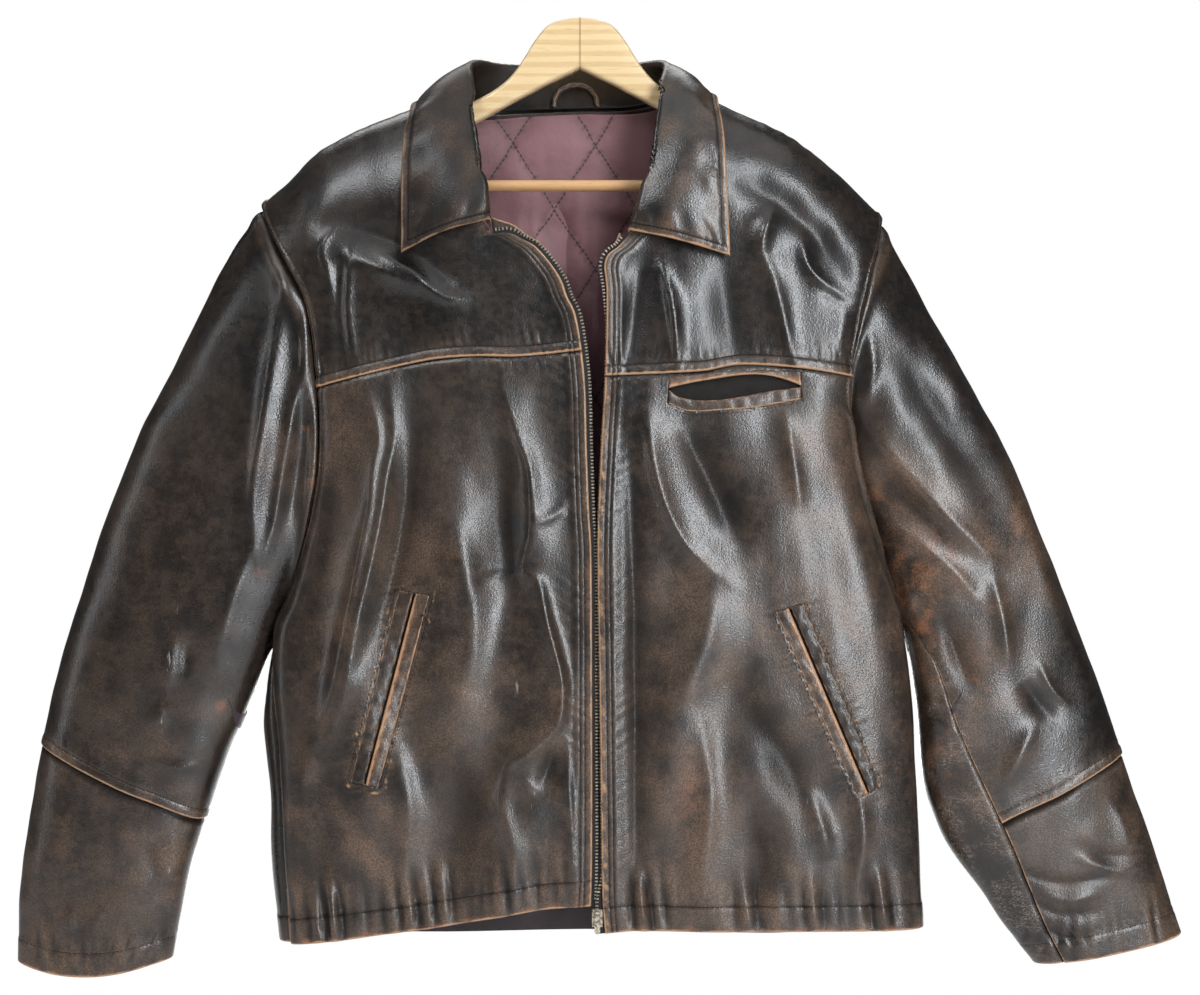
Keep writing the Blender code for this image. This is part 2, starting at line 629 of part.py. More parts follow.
def build_chest_pocket(front):
    across = np.linspace(0, 1, 9)
    top, low = along(CHEST_POCKET_TOP, across), along(CHEST_POCKET_LOW, across)
    cut(front, prism("chest_window", [*top, *low[::-1]], *WINDOW_CUT))
    width = CHEST_POCKET_TOP[-1][0] - CHEST_POCKET_TOP[0][0]
    ends = SEAM_GAP / width + (1 - 2 * SEAM_GAP / width) * across
    inset = np.array([0, SEAM_GAP])
    top, low = along(CHEST_POCKET_TOP, ends) - inset, along(CHEST_POCKET_LOW, ends) + inset
    narrowing = 1 - 0.55 * np.abs(2 * across - 1) ** 3
    upper = top - np.stack([np.zeros(9), np.full(9, UPPER_WELT)], 1)
    lower = low + np.stack([np.zeros(9), LOWER_WELT * narrowing], 1)
    for name, edge, lip in (("upper", top, upper), ("lower", low, lower)):
        sheet(f"chest_pocket_{name}_welt", on_front("left", np.stack([edge, lip]), WELT_SUNK), WELT_THICK,
              FRONTWARD, "leather")
    longer = (-0.06 + 1.12 * across)[:, None]
    top, low = between(*CHEST_FACING[:2], longer), between(*CHEST_FACING[2:], longer)
    flat = np.stack([top, (top + low) / 2, low])
    sheet("chest_pocket_facing", on_front("left", flat, POCKET_DEPTH), POCKET_CLOTH, FRONTWARD, "tape")


# ---------------------------------------------------------------- back and lining

def build_back():
    start, end = neck_shares()
    shares = np.concatenate([
        start * np.array([0, 0.055, 0.13, 0.25, 0.45, 0.72]),
        np.linspace(start, end, 8),
        end + (1 - end) * np.array([0.28, 0.55, 0.75, 0.87, 0.945, 1]),
    ])
    rise = 1 - np.array([0, 0.003, 0.012, 0.03, 0.06, 0.10, 0.15, 0.22, 0.3, 0.38, 0.43, 0.48, 0.54, 0.64,
                         0.75, 0.87, 1])[::-1]
    grid = back_points(shares, rise)
    sheet("back_panel", grid, LEATHER, BACKWARD, "leather")
    near_neck = np.clip(grid[..., 2:] / 30 + 4.3, 0, 1)
    inside = moved_out(grid, BACKWARD, -LEATHER - LINING_GAP - 1.3 * near_neck)[:, 3:-3]
    at_neck = np.clip(back_top(shares)[1][3:-3] / NECK_SEAM_DEPTH * 2 - 1, 0, 1)
    place = np.arange(2.0, len(rise) - 1)[:, None] * np.ones(len(at_neck))
    place = 2 + (place - 2) * (len(rise) - 5.5 + 3.6 * at_neck - 2) / (len(rise) - 4)
    lining = np.stack([
        np.stack([np.interp(place[:, j], np.arange(len(rise)), inside[:, j, k]) for k in range(3)], 1)
        for j in range(len(at_neck))
    ], 1)
    sheet("back_lining", lining, LINING, BACKWARD, "lining")


# ---------------------------------------------------------------- sleeves

def ring_table():
    """Shares of the way round a flattened tube, even in length and turning, with its width and depth."""
    turn = np.linspace(0, 2 * math.pi, 721)
    power = 2 / SLEEVE_SQUARENESS
    across = np.sign(np.cos(turn)) * np.abs(np.cos(turn)) ** power
    depth = np.sign(np.sin(turn)) * np.abs(np.sin(turn)) ** power
    run = np.hypot(np.diff(across), 0.38 * np.diff(depth))
    heading = np.unwrap(np.arctan2(0.38 * np.diff(depth), np.diff(across)))
    bend = np.abs(np.diff(heading, prepend=heading[0]))
    share = np.concatenate([[0], np.cumsum(run / run.sum() + bend / bend.sum())])
    return share / share[-1], across, depth


RING = ring_table()


def turn_at(place):
    """The even-turning share at a place round the sleeve (0 outer edge, 1 inner edge, back to 2)."""
    share, across, _ = RING
    half = len(share) // 2 + 1
    place = np.asarray(place, float)
    front = np.interp(np.clip(place, 0, 1), (1 - across[:half]) / 2, share[:half])
    lap = np.where(place < 0, place + 2, place)
    back = np.interp(np.clip(lap, 1, 2), (3 + across[half - 1:]) / 2, share[half - 1:])
    return np.where((place >= 0) & (place <= 1), front, back - (place < 0))


def armhole(side, table, down):
    """The armhole's (across, depth) at this share of the way down from the shoulder to the armpit."""
    tip, pit = SLEEVE[side][0][2], SLEEVE[side][0][4]
    height = tip + (pit - tip) * down
    rows = smooth_through(table[side], 1, height)
    away = ARMHOLE_GAP if side == "left" else -ARMHOLE_GAP
    return rows[..., 0] + away, rows[..., 2] * shoulder_round(tip - height)


def sleeve_points(side, turn, down):
    """Points of a sleeve at shares of the way round (outer edge, front, inner edge, back) and down."""
    turn, down = np.asarray(turn, float) % 1.0, np.asarray(down, float)
    share, across, depth = RING
    across, depth = np.interp(turn, share, across), np.interp(turn, share, depth)
    inward = (1 - across) / 2
    rows = smooth_through(SLEEVE[side], 0, down)
    outer, inner, half_depth = rows[..., 1:3], rows[..., 3:5], rows[..., 5]
    flat = outer + (inner - outer) * inward[..., None]
    y = -half_depth * depth
    first = SLEEVE[side][0]
    straight = first[1] + (first[3] - first[1]) * inward
    front_x, front_y = armhole(side, ARM_AND_SIDE, inward)
    back_x, back_y = armhole(side, BACK_EDGE, inward)
    front = depth >= 0
    fade = np.clip(1 - down / SLEEVE_BLEND, 0, 1)
    fade = fade * fade * (3 - 2 * fade)
    x = flat[..., 0] + (np.where(front, front_x, back_x) - straight) * fade
    y = y * (1 - fade) + np.where(front, front_y, back_y) * fade
    droop = CUFF_DROOP[side] * np.sin(math.pi * inward) * np.clip(down * 6 - 5, 0, 1) ** 2
    z = flat[..., 1] - droop
    y = y - np.where(front, 1, 0) * bump(x, z, SLEEVE_FOLDS) * np.clip(depth, 0, 1)
    return np.stack([x, y, z], -1)


def middle_of_sleeve(side, down):
    rows = smooth_through(SLEEVE[side], 0, down)
    centre = (rows[..., 1:3] + rows[..., 3:5]) / 2
    return np.stack([centre[..., 0], np.zeros_like(centre[..., 0]), centre[..., 1]], -1)


def sleeve_piece(name, side, stops, turns, columns, look):
    """A piece of sleeve between two long seams: stops give the shares of the way down at a turn."""
    p = np.linspace(0, 1, columns)[None, :]
    down = stops(np.full((1, columns), 0.3))
    for _ in range(4):
        first, second = turns(down)
        turn = first + (second - first) * p
        down = stops(turn)
    grid = sleeve_points(side, turn, down)
    return sheet(name, grid, LEATHER, grid - middle_of_sleeve(side, down), look)


def build_sleeve(side):
    gap_down = SEAM_GAP / 2 / SLEEVE_LENGTH
    first_down = SEAM_GAP * 2 / SLEEVE_LENGTH
    places = [row[0] for row in FOREARM_SEAM[side]]
    slants = np.stack([turn_at(places), [row[1] for row in FOREARM_SEAM[side]]], 1)

    def seams(down, apart):
        rows = smooth_through(SLEEVE_SEAMS[side], 0, down)
        return turn_at(rows[..., 1]) + apart, turn_at(rows[..., 2]) - apart

    def top_seams(down):
        front, back = seams(down, -SLEEVE_SEAM_GAP)
        return front, back - 1

    def under_seams(down):
        return seams(down, SLEEVE_SEAM_GAP)

    def steps(start, end, count):
        return start + (end - start) * np.linspace(0, 1, count)[:, None]

    def slant(turn):
        return smooth_through(slants, 0, turn[None])[..., 1]

    def top(turn):
        return steps(first_down, slant(turn[-1]) - gap_down, TOP_ROWS)

    def forearm(turn):
        return steps(slant(turn[0]) + gap_down, 1.0, FOREARM_ROWS)

    def whole(turn):
        return np.vstack([top(turn[:TOP_ROWS]), forearm(turn[-FOREARM_ROWS:])])

    sleeve_piece(f"sleeve_{side}_top", side, top, top_seams, 12, "leather")
    sleeve_piece(f"sleeve_{side}_forearm", side, forearm, top_seams, 12, "worn_leather")
    sleeve_piece(f"sleeve_{side}_under", side, whole, under_seams, 6, "leather")


# ---------------------------------------------------------------- collar

def neck_curve():
    """The neck seam, from the right zip edge round the back to the left one, and where its back part lies."""
    pieces = []
    for side in ("right", "left"):
        flat = along(NECK[side][::-1], np.linspace(0, 1, 120))
        pieces.append(on_front(side, flat))
    x = np.linspace(SHOULDER["right"][0][0], SHOULDER["left"][0][0], 200)
    shares = np.linspace(0, 1, 800)
    where = np.interp(x, back_section(SHOULDER["right"][0][1], shares)[:, 0], shares)
    height, depth = back_top(where)
    back = np.stack([x, depth, height], 1)
    curve = np.vstack([pieces[0], back[1:-1], pieces[1][::-1]])
    length = np.concatenate([[0], np.cumsum(np.linalg.norm(np.diff(curve, axis=0), axis=1))])
    return curve, length, length[119], length[317]


def unit(vector):
    return vector / np.linalg.norm(vector)


def collar_section(base, stand, fall, ahead, turns=5, falls=5):
    """Points from the neck seam up the stand, round the fold and down the fall; ahead is along the fold."""
    up = unit(stand - base)
    out = unit(np.cross(up, ahead))
    base = base + up * COLLAR_SEAM_GAP
    top = stand - up * FOLD_RADIUS
    centre = top + out * FOLD_RADIUS
    heading = unit(fall - centre)
    angle = math.atan2(np.dot(heading, out), np.dot(heading, up)) + 0.15
    points = [base, between(base, top, 0.5)]
    for alpha in np.linspace(0, angle, turns):
        points.append(centre + FOLD_RADIUS * (up * math.sin(alpha) - out * math.cos(alpha)))
    last, normal = points[-1], unit(points[-1] - centre)
    for share in np.linspace(0, 1, falls + 1)[1:]:
        belly = FALL_BELLY * math.sin(math.pi * share) * (1 - 0.4 * share)
        points.append(between(last, fall, share) + normal * belly)
    return np.array(points)


def lifted_off(points):
    """Collar points moved out where they would come too near the shoulders under the fall."""
    moved = points.copy()
    for i, (x, y, z) in enumerate(points):
        side = "right" if x < (SHOULDER["right"][0][0] + SHOULDER["left"][0][0]) / 2 else "left"
        out = (x - SHOULDER[side][0][0]) * (-1 if side == "right" else 1)
        top = smooth_through(SHOULDER[side], 0, x)[..., 1]
        high = max(SHOULDER_ROUND - (top - z), 0)
        deep = -float(front_depth(side, x, min(z, top - SHOULDER_ROUND))) if y < 0 else BACK_DEPTH
        ratio = math.hypot(high / SHOULDER_ROUND, y / deep)
        needed = 1 + COLLAR_CLEAR / (math.hypot(high, y) / ratio)
        if (out > -4 or y < 0) and ratio < needed:
            moved[i] = x, y * needed / ratio, z + high * (needed / ratio - 1)
    return moved


def collar_points(stations):
    curve, length, back_start, back_end = neck_curve()
    rows = []
    for edge, share, *rest in COLLAR:
        if edge == "right":
            place = share * back_start
        elif edge == "back":
            place = back_start + share * (back_end - back_start)
        else:
            place = length[-1] - share * (length[-1] - back_end)
        rows.append([place, *rest])
    rows = np.array(rows)
    spread = along(rows, stations)
    bases = np.stack([np.interp(spread[:, 0], length, curve[:, k]) for k in range(3)], 1)
    stands, falls = spread[:, 1:4], spread[:, 4:]
    sections = []
    for base, stand, fall, ahead in zip(bases, stands, falls, np.gradient(stands, axis=0)):
        section = collar_section(base, stand, fall, ahead)
        section[4:] = lifted_off(section[4:])
        sections.append(section)
    return np.stack(sections, 1)


def build_collar():
    grid = collar_points(COLLAR_STATIONS)
    towards_fold = np.zeros_like(grid)
    towards_fold[..., 2] = 1.0
    sheet("collar", grid, COLLAR_LEATHER, towards_fold, "leather")


def build_loop():
    """The loop of leather cord at the back neck seam."""
    route = along(LOOP, np.linspace(0, 1, 14))
    curve = bpy.data.curves.new("hanging_loop", "CURVE")
    curve.dimensions = "3D"
    curve.bevel_depth = LOOP_RADIUS * MM
    curve.bevel_resolution = 2
    curve.use_fill_caps = True
    spline = curve.splines.new("POLY")
    spline.points.add(len(route) - 1)
    for point, (x, z) in zip(spline.points, route):
        point.co = (x * MM, (NECK_SEAM_DEPTH - LOOP_RADIUS - LAYER_GAP) * MM, z * MM, 1)
    obj = bpy.data.objects.new("hanging_loop", curve)
    coat.objects.link(obj)
    curve.materials.append(finish("worn_leather"))


# ---------------------------------------------------------------- zip slider and pull tab

def block(name, x0, x1, y0, y1, z0, z1, look=None):
    return prism(name, [(x0, z0), (x0, z1), (x1, z1), (x1, z0)], y0, y1, look)


def slider_depth():
    """Middle of the left tape's thickness beside the slider."""
    middle = (SLIDER["top"] + SLIDER["low"]) / 2
    return float(front_depth("left", ZIP_EDGE["left"][-1][0], middle)) + LEATHER + LAYER_GAP + TAPE / 2


def build_slider_and_tab():
    x, half, plate = SLIDER["x"], SLIDER["width"] / 2, SLIDER["plate"]
    middle, half_slot = slider_depth(), SLIDER["slot"] / 2
    face = middle - half_slot - plate
    slider = block("zip_slider", x - half, x + half, face, middle + half_slot + plate,
                   SLIDER["low"], SLIDER["top"], "zip_metal")
    cut(slider, block("slot_side", x - 0.8, x + half + 1, middle - half_slot, middle + half_slot,
                      SLIDER["low"] - 1, SLIDER["top"] + 1))
    cut(slider, block("slot_foot", x - half - 1, x, middle - half_slot, middle + half_slot,
                      SLIDER["low"] - 1, SLIDER["top"] - 4))
    barrel, width = TAB["barrel"], TAB["width"]
    pivot_y = face - barrel - TAB["clear"]
    inner = width / 2 - 0.4
    for k, sign in enumerate((-1, 1)):
        edges = sorted((x + sign * inner, x + sign * (inner + 1.1)))
        ear = block(f"ear_{k}", *edges, pivot_y - 1.5, face + 0.5, PIVOT_HEIGHT - 1.6, PIVOT_HEIGHT + 1.6)
        cut(slider, ear, "UNION")
    pivot = cylinder_x("pivot", PIVOT_RADIUS, x - inner - 0.5, x + inner + 0.5, pivot_y, PIVOT_HEIGHT)
    cut(slider, pivot, "UNION")

    hinge = bpy.data.objects.new("pull_tab_hinge", None)
    coat.objects.link(hinge)
    hinge.location = (x * MM, pivot_y * MM, PIVOT_HEIGHT * MM)
    reach = inner - TAB["clear"]
    tab = cylinder_x("pull_tab", barrel, x - reach, x + reach, pivot_y, PIVOT_HEIGHT, 20, "zip_metal")
    low = PIVOT_HEIGHT - TAB["length"]
    half_thick = TAB["thick"] / 2
    cut(tab, block("tab_neck", x - reach + 0.2, x + reach - 0.2, pivot_y - half_thick, pivot_y + half_thick,
                   PIVOT_HEIGHT - 6, PIVOT_HEIGHT - 0.5), "UNION")
    outline = [(x - width / 2, low + 1.5), (x - width / 2, PIVOT_HEIGHT - 3.4),
               (x + width / 2, PIVOT_HEIGHT - 3.4), (x + width / 2, low + 1.5),
               (x + width / 2 - 1.5, low), (x - width / 2 + 1.5, low)]
    cut(tab, prism("tab_blade", outline, pivot_y - half_thick, pivot_y + half_thick), "UNION")
    bore = PIVOT_RADIUS + TAB["clear"]
    cut(tab, cylinder_x("tab_bore", bore, x - reach - 1, x + reach + 1, pivot_y, PIVOT_HEIGHT))
    tab.parent = hinge
    tab.location = (0, 0, 0)


# ---------------------------------------------------------------- hanger

def build_hanger():
    top = [(out, high) for out, high, _ in BOARD_OUTLINE]
    low = [(out, depth) for out, _, depth in BOARD_OUTLINE]
    outline = [(-out, z) for out, z in top[::-1]] + top[1:] + low[::-1] + [(-out, z) for out, z in low[1:]]
    board = prism("hanger_board", outline, -BOARD_THICK / 2, BOARD_THICK / 2, "board_wood")
    cylinder_x("hanger_bar", BAR_RADIUS, -BAR_HALF_LENGTH, BAR_HALF_LENGTH, 0, BAR_HEIGHT, 16, "bar_wood")
    for k, sign in enumerate((-1, 1)):
        ends = sorted((sign * BAR_HOLE_START, sign * (BAR_HALF_LENGTH + BAR_CLEAR)))
        cut(board, cylinder_x(f"bar_hole_{k}", BAR_RADIUS + BAR_CLEAR, *ends, 0, BAR_HEIGHT))
    socket = bpy.data.meshes.new("hook_socket")
    form = bmesh.new()
    bmesh.ops.create_cone(form, cap_ends=True, segments=12, radius1=SOCKET_RADIUS * MM,
                          radius2=SOCKET_RADIUS * MM, depth=2 * SOCKET_DEPTH * MM)
    form.to_mesh(socket)
    form.free()
    cut(board, add_object("hook_socket", socket, None, cutters))


def main():
    for obj in list(bpy.data.objects):
        bpy.data.objects.remove(obj, do_unlink=True)
    for collection in (coat, cutters):
        bpy.context.scene.collection.children.link(collection)
    for side in ("right", "left"):
        front, grid = build_front(side)
        build_zip(side, grid)
        build_hand_pocket(side, front)
        build_sleeve(side)
        if side == "left":
            build_chest_pocket(front)
    build_back()
    build_collar()
    build_loop()
    build_slider_and_tab()
    build_hanger()
    cutters.hide_render = True


main()
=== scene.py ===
"""A worn leather coat, hanging open on a wooden hanger: its leather, seams, zip, lining and wood.

The scene is in metres. Tables and sizes are in millimetres, and MM turns them into metres.
Right and left are the wearer's: the right side is at -X, and the front faces -Y.
"""

import functools
import math

import bmesh
import bpy
import numpy as np
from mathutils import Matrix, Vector


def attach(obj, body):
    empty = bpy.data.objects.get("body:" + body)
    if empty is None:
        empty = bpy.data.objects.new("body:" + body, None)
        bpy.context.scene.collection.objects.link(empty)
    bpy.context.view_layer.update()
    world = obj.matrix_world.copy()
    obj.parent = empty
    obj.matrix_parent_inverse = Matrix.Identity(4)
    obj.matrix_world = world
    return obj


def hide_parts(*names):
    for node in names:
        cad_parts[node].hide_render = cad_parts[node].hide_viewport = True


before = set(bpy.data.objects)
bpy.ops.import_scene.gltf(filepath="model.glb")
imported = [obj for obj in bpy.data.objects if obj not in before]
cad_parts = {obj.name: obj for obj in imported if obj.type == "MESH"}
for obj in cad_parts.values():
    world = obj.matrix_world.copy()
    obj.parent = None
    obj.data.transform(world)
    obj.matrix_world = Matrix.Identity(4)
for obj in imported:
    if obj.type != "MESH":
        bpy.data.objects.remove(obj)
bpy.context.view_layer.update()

MM = 0.001
BODY = "coat"
FRONTWARD = np.array([0.0, -1.0, 0.0])
BACKWARD = -FRONTWARD

# ---------------------------------------------------------------- sizes, as the solids have them

LEATHER = 1.6
THINNEST = 0.6            # leather left under the deepest relief
COLLAR_LEATHER = 3.0
LINING = 2.2
TAPE = 1.2
LAYER_GAP = 0.5
LINING_GAP = 1.7
SHOULDER_GAP = 0.6
SHOULDER_ROUND = 90.0
FRONT_SQUARENESS = [(-900, 5.0), (-470, 5.0), (-330, 4.2), (0, 4.2)]   # height, power
BACK_SQUARENESS = 4.0
BACK_DEPTH = 40.0
NECK_SEAM_DEPTH = 35.0
WELT_THICK = 2.0

# Shoulder line from the neck to the tip of the shoulder: across, height
SHOULDER = {
    "right": [(-102, -66), (-151, -81), (-179, -92), (-203, -104), (-223, -116), (-244, -138),
              (-267, -157)],
    "left": [(82, -57), (134, -80), (159, -92), (181, -104), (198, -116), (224, -138), (253, -168)],
}
# Front neck edge, from the shoulder down to the top of the zip: across, height
NECK = {
    "right": [(-102, -66), (-105, -84), (-103, -110), (-97, -136), (-88, -163), (-71, -187)],
    "left": [(82, -57), (84, -84), (82, -110), (74, -140), (60, -168), (38, -190)],
}
# Back neck seam: across, height
BACK_NECK = [
    (-102, -66), (-94, -72), (-80, -76), (-50, -74), (0, -72), (46, -71), (66, -67), (76, -62), (82, -57),
]
# Front edge along the zip, top to hem: across, height
ZIP_EDGE = {
    "right": [
        (-71, -187), (-57, -186), (-45, -192), (-36, -197), (-25, -209), (-15, -224), (-10, -238),
        (-3, -253), (2, -282), (5, -315), (6, -356), (8, -413), (10, -454), (10.5, -568), (10.5, -691),
        (9.5, -737),
    ],
    "left": [
        (38, -190), (32, -197), (23, -204), (20, -213), (21, -223), (22, -241), (21, -303), (18, -356),
        (15, -424), (15, -482), (16, -535), (18, -690), (19, -737), (21, -759),
    ],
}
# Armhole and side seam, as the front meets them, top to hem: across, height, depth
ARM_AND_SIDE = {
    "right": [
        (-267, -157, 0), (-256, -182, -24), (-240, -212, -34), (-226, -238, -36), (-220, -262, -36),
        (-216, -300, -34), (-214, -347, -28), (-217, -397, -22), (-229, -447, -15), (-243, -489, -8),
        (-253, -511, -4), (-255, -538, -10), (-254, -563, -16), (-249, -604, -22), (-246, -653, -25),
        (-243, -700, -26), (-239, -771, -26),
    ],
    "left": [
        (253, -168, 0), (247, -192, -20), (240, -215, -30), (234, -241, -33), (229, -266, -34),
        (224, -297, -30), (224, -340, -20), (232, -390, -13), (245, -437, -8), (266, -495, -4),
        (271, -531, -4), (276, -573, -5), (279, -623, -6), (282, -690, -7), (285, -758, -8),
    ],
}
# Where the back meets the armholes and sides: across, height, depth, and how far it swells out past them
BACK_EDGE = {
    "right": [
        (-267, -157, 0, 0), (-255, -190, 16, 0), (-243, -230, 24, 0), (-234, -290, 28, 0),
        (-232, -350, 26, 0), (-235, -420, 18, 0), (-253, -511, -2, 0), (-255, -538, -9, 3),
        (-254, -563, -15, 8), (-249, -604, -21, 16), (-246, -653, -24, 13), (-243, -700, -25, 15),
        (-239, -771, -25, 12),
    ],
    "left": [
        (253, -168, 0, 0), (246, -200, 16, 0), (240, -240, 24, 0), (238, -300, 28, 0),
        (240, -360, 26, 0), (245, -425, 18, 0), (266, -495, -2, 0), (271, -531, -3, 0),
        (276, -573, -4, 0), (279, -623, -5, 0), (282, -690, -6, 0), (285, -758, -7, 0),
    ],
}
# Depth of the fronts away from the armholes: height, depth
FRONT_DEPTH = {
    "right": [(-50, -42), (-187, -45), (-240, -46), (-320, -48), (-450, -50), (-600, -49), (-772, -47)],
    "left": [(-50, -42), (-190, -46), (-240, -49), (-320, -52), (-450, -54), (-600, -53), (-772, -50)],
}
# Hem of each front, from the zip to the side: across, height
HEM = {
    "right": [(9.5, -737), (-27, -740), (-69, -747), (-100, -752), (-131, -757), (-174, -763),
              (-239, -771)],
    "left": [(21, -759), (46, -757), (88, -758), (193, -758), (285, -758)],
}
# Hem of the back: share of the way across from right to left, height
BACK_HEM = [(0.0, -771), (0.3, -775), (0.5, -773), (0.75, -776), (1.0, -758)]
# Yoke seam from the zip to the armhole: across, height
YOKE = {
    "right": [(2, -282), (-49, -287), (-89, -287), (-129, -291), (-189, -305), (-216, -312)],
    "left": [(21, -303), (73, -301), (103, -299), (133, -294), (182, -297), (224, -303)],
}
# Sleeves: share of the way down, outer edge, inner edge, and half the thickness of the tube
SLEEVE = {
    "right": [
        # down, outer_x, outer_z, inner_x, inner_z, half_depth
        (0.00, -267, -157, -253, -511, 34),
        (0.08, -293, -192, -259, -524, 36),
        (0.20, -327, -264, -268, -549, 36),
        (0.35, -372, -356, -281, -582, 34),
        (0.50, -410, -458, -296, -618, 32),
        (0.65, -442, -568, -312, -664, 30),
        (0.80, -462, -674, -327, -712, 27),
        (0.90, -470, -738, -336, -752, 25),
        (1.00, -472, -791, -344, -789, 23),
    ],
    "left": [
        (0.00, 253, -168, 266, -495, 34),
        (0.08, 272, -203, 271.5, -510, 36),
        (0.20, 308, -272, 278, -541, 36),
        (0.35, 352, -354, 284, -588, 34),
        (0.50, 393, -450, 289, -640, 32),
        (0.65, 434, -558, 305, -686, 30),
        (0.80, 470, -664, 332, -727, 27),
        (0.90, 488, -716, 355, -760, 25),
        (1.00, 504, -768, 382, -793, 23),
    ],
}
SLEEVE_SQUARENESS = 2.4
SLEEVE_BLEND = 0.34
CUFF_DROOP = {"right": 11.0, "left": 2.0}
# Long seams: down, place of the front seam and of the back seam (0 outer edge, 1 inner, 2 outer again)
SLEEVE_SEAMS = {
    "right": [(0.0, 1.06, 1.60), (1.0, 1.06, 1.60)],
    "left": [(0.0, 1.0, 1.60), (0.2, 0.90, 1.60), (0.4, 0.80, 1.60), (0.7, 0.735, 1.60), (1.0, 0.83, 1.60)],
}
# Slanting seam above each forearm: place round, share of the way down
FOREARM_SEAM = {
    "right": [(-0.40, 0.700), (0.0, 0.707), (0.5, 0.704), (0.8, 0.692), (1.06, 0.665), (1.60, 0.700)],
    "left": [(-0.40, 0.725), (0.0, 0.731), (0.4, 0.723), (0.77, 0.703), (1.60, 0.725)],
}
# Collar: place of its foot on the neck edge, then the top of the stand and the edge of the fall
COLLAR = [
    # edge, share, stand_x, stand_y, stand_z, fall_x, fall_y, fall_z
    ("right", 0.02, -71, -48, -176, -146, -51, -203),
    ("right", 0.24, -73, -47, -150, -146, -50, -172),
    ("right", 0.50, -77, -37, -122, -146, -48, -136),
    ("right", 0.72, -83, -25, -93, -145, -44, -108),
    ("right", 0.92, -87, -12, -57, -142, -27, -86),
    ("back", 0.06, -86, 8, -35, -138, 12, -74),
    ("back", 0.22, -62, 33, -31, -104, 52, -92),
    ("back", 0.50, -10, 41, -30, -10, 55, -98),
    ("back", 0.78, 42, 33, -31, 84, 52, -88),
    ("back", 0.94, 66, 8, -35, 112, 12, -66),
    ("left", 0.92, 65, -12, -57, 116, -27, -80),
    ("left", 0.72, 61, -26, -93, 119, -45, -106),
    ("left", 0.50, 55, -39, -124, 120, -53, -136),
    ("left", 0.24, 47, -49, -156, 122, -56, -172),
    ("left", 0.02, 38, -52, -184, 123, -57, -206),
]
FOLD_RADIUS = 4.5
COLLAR_SEAM_GAP = 3.0
COLLAR_CLEAR = 6.8
FALL_BELLY = 5.0

HAND_POCKET = {
    "right": [(-124, -484), (-165, -638), (-185, -634), (-147, -480)],
    "left": [(162, -497), (228, -647), (244, -639), (182, -491)],
}
CHEST_POCKET_TOP = [(73, -306), (129, -301), (181, -301)]
CHEST_POCKET_LOW = [(73, -325), (90, -331), (117, -330), (142, -328), (181, -321)]

QUILT_SPACING = 59.0
QUILT_SLOPE = 57.0
QUILT_CROSSING = (-22.4, -155.0)    # one crossing of the quilting lines: across, height

# ---------------------------------------------------------------- curves and surfaces

STEPS_PER_POINT = 12      # short steps of a smooth curve from one of its points to the next
PAST_EDGE = 1.0015        # how a front's depth reaches its seams a little before the panel ends


def smooth_through(table, key, at):
    """A smooth, non-overshooting curve through a table's rows, ordered by column key."""
    rows = np.array(sorted(table, key=lambda row: row[key]), float)
    x = rows[:, key]
    slopes = np.diff(rows, axis=0) / np.diff(x)[:, None]
    tangent = np.vstack([slopes[:1], 0.5 * (slopes[1:] + slopes[:-1]), slopes[-1:]])
    tangent[1:-1][slopes[1:] * slopes[:-1] <= 0] = 0
    at = np.clip(np.asarray(at, float), x[0], x[-1])
    i = np.clip(np.searchsorted(x, at) - 1, 0, len(x) - 2)
    width = (x[i + 1] - x[i])[..., None]
    t = ((at - x[i]) / (x[i + 1] - x[i]))[..., None]
    return (
        (1 + 2 * t) * (1 - t) ** 2 * rows[i] + t * (1 - t) ** 2 * width * tangent[i]
        + t * t * (3 - 2 * t) * rows[i + 1] - t * t * (1 - t) * width * tangent[i + 1]
    )


def smooth_line(points):
    """A smooth curve through the points, as many short steps."""
    points = np.array(points, float)
    before = np.vstack([2 * points[0] - points[1], points[:-1]])
    after = np.vstack([points[1:], 2 * points[-1] - points[-2]])
    line = []
    for i in range(len(points) - 1):
        t = np.linspace(0, 1, STEPS_PER_POINT, endpoint=False)[:, None]
        a, b, c, d = before[i], points[i], points[i + 1], after[i + 1]
        line.append(0.5 * (2 * b + (c - a) * t + (2 * a - 5 * b + 4 * c - d) * t ** 2
                           + (3 * b - a - 3 * c + d) * t ** 3))
    return np.vstack(line + [points[-1:]])


def run_of(line):
    """Length along a line at each of its points."""
    return np.concatenate([[0], np.cumsum(np.linalg.norm(np.diff(line, axis=0), axis=1))])


def at_shares(line, shares):
    """Points at these shares of a line's length."""
    length = run_of(line)
    shares = np.asarray(shares, float) * length[-1]
    return np.stack([np.interp(shares, length, line[:, k]) for k in range(line.shape[1])], -1)


def along(points, shares):
    return at_shares(smooth_line(points), shares)


def stretch(points, start, end):
    """The part of a smooth curve between its points nearest start and end."""
    fine = along(points, np.linspace(0, 1, 600))
    first = int(np.argmin(np.linalg.norm(fine - start, axis=1)))
    last = int(np.argmin(np.linalg.norm(fine - end, axis=1)))
    part = fine[first:last + 1] if first < last else fine[last:first + 1][::-1]
    part[0], part[-1] = start, end
    return part


def unit(vector):
    return vector / np.maximum(np.linalg.norm(vector, axis=-1, keepdims=True), 1e-12)


def smoothstep(low, high, value):
    t = np.clip((value - low) / (high - low), 0, 1)
    return t * t * (3 - 2 * t)


def normals_of(grid):
    """Unit normals of a grid, from its rows and columns."""
    down, across = np.gradient(grid, axis=0), np.gradient(grid, axis=1)
    return unit(np.cross(across, down))


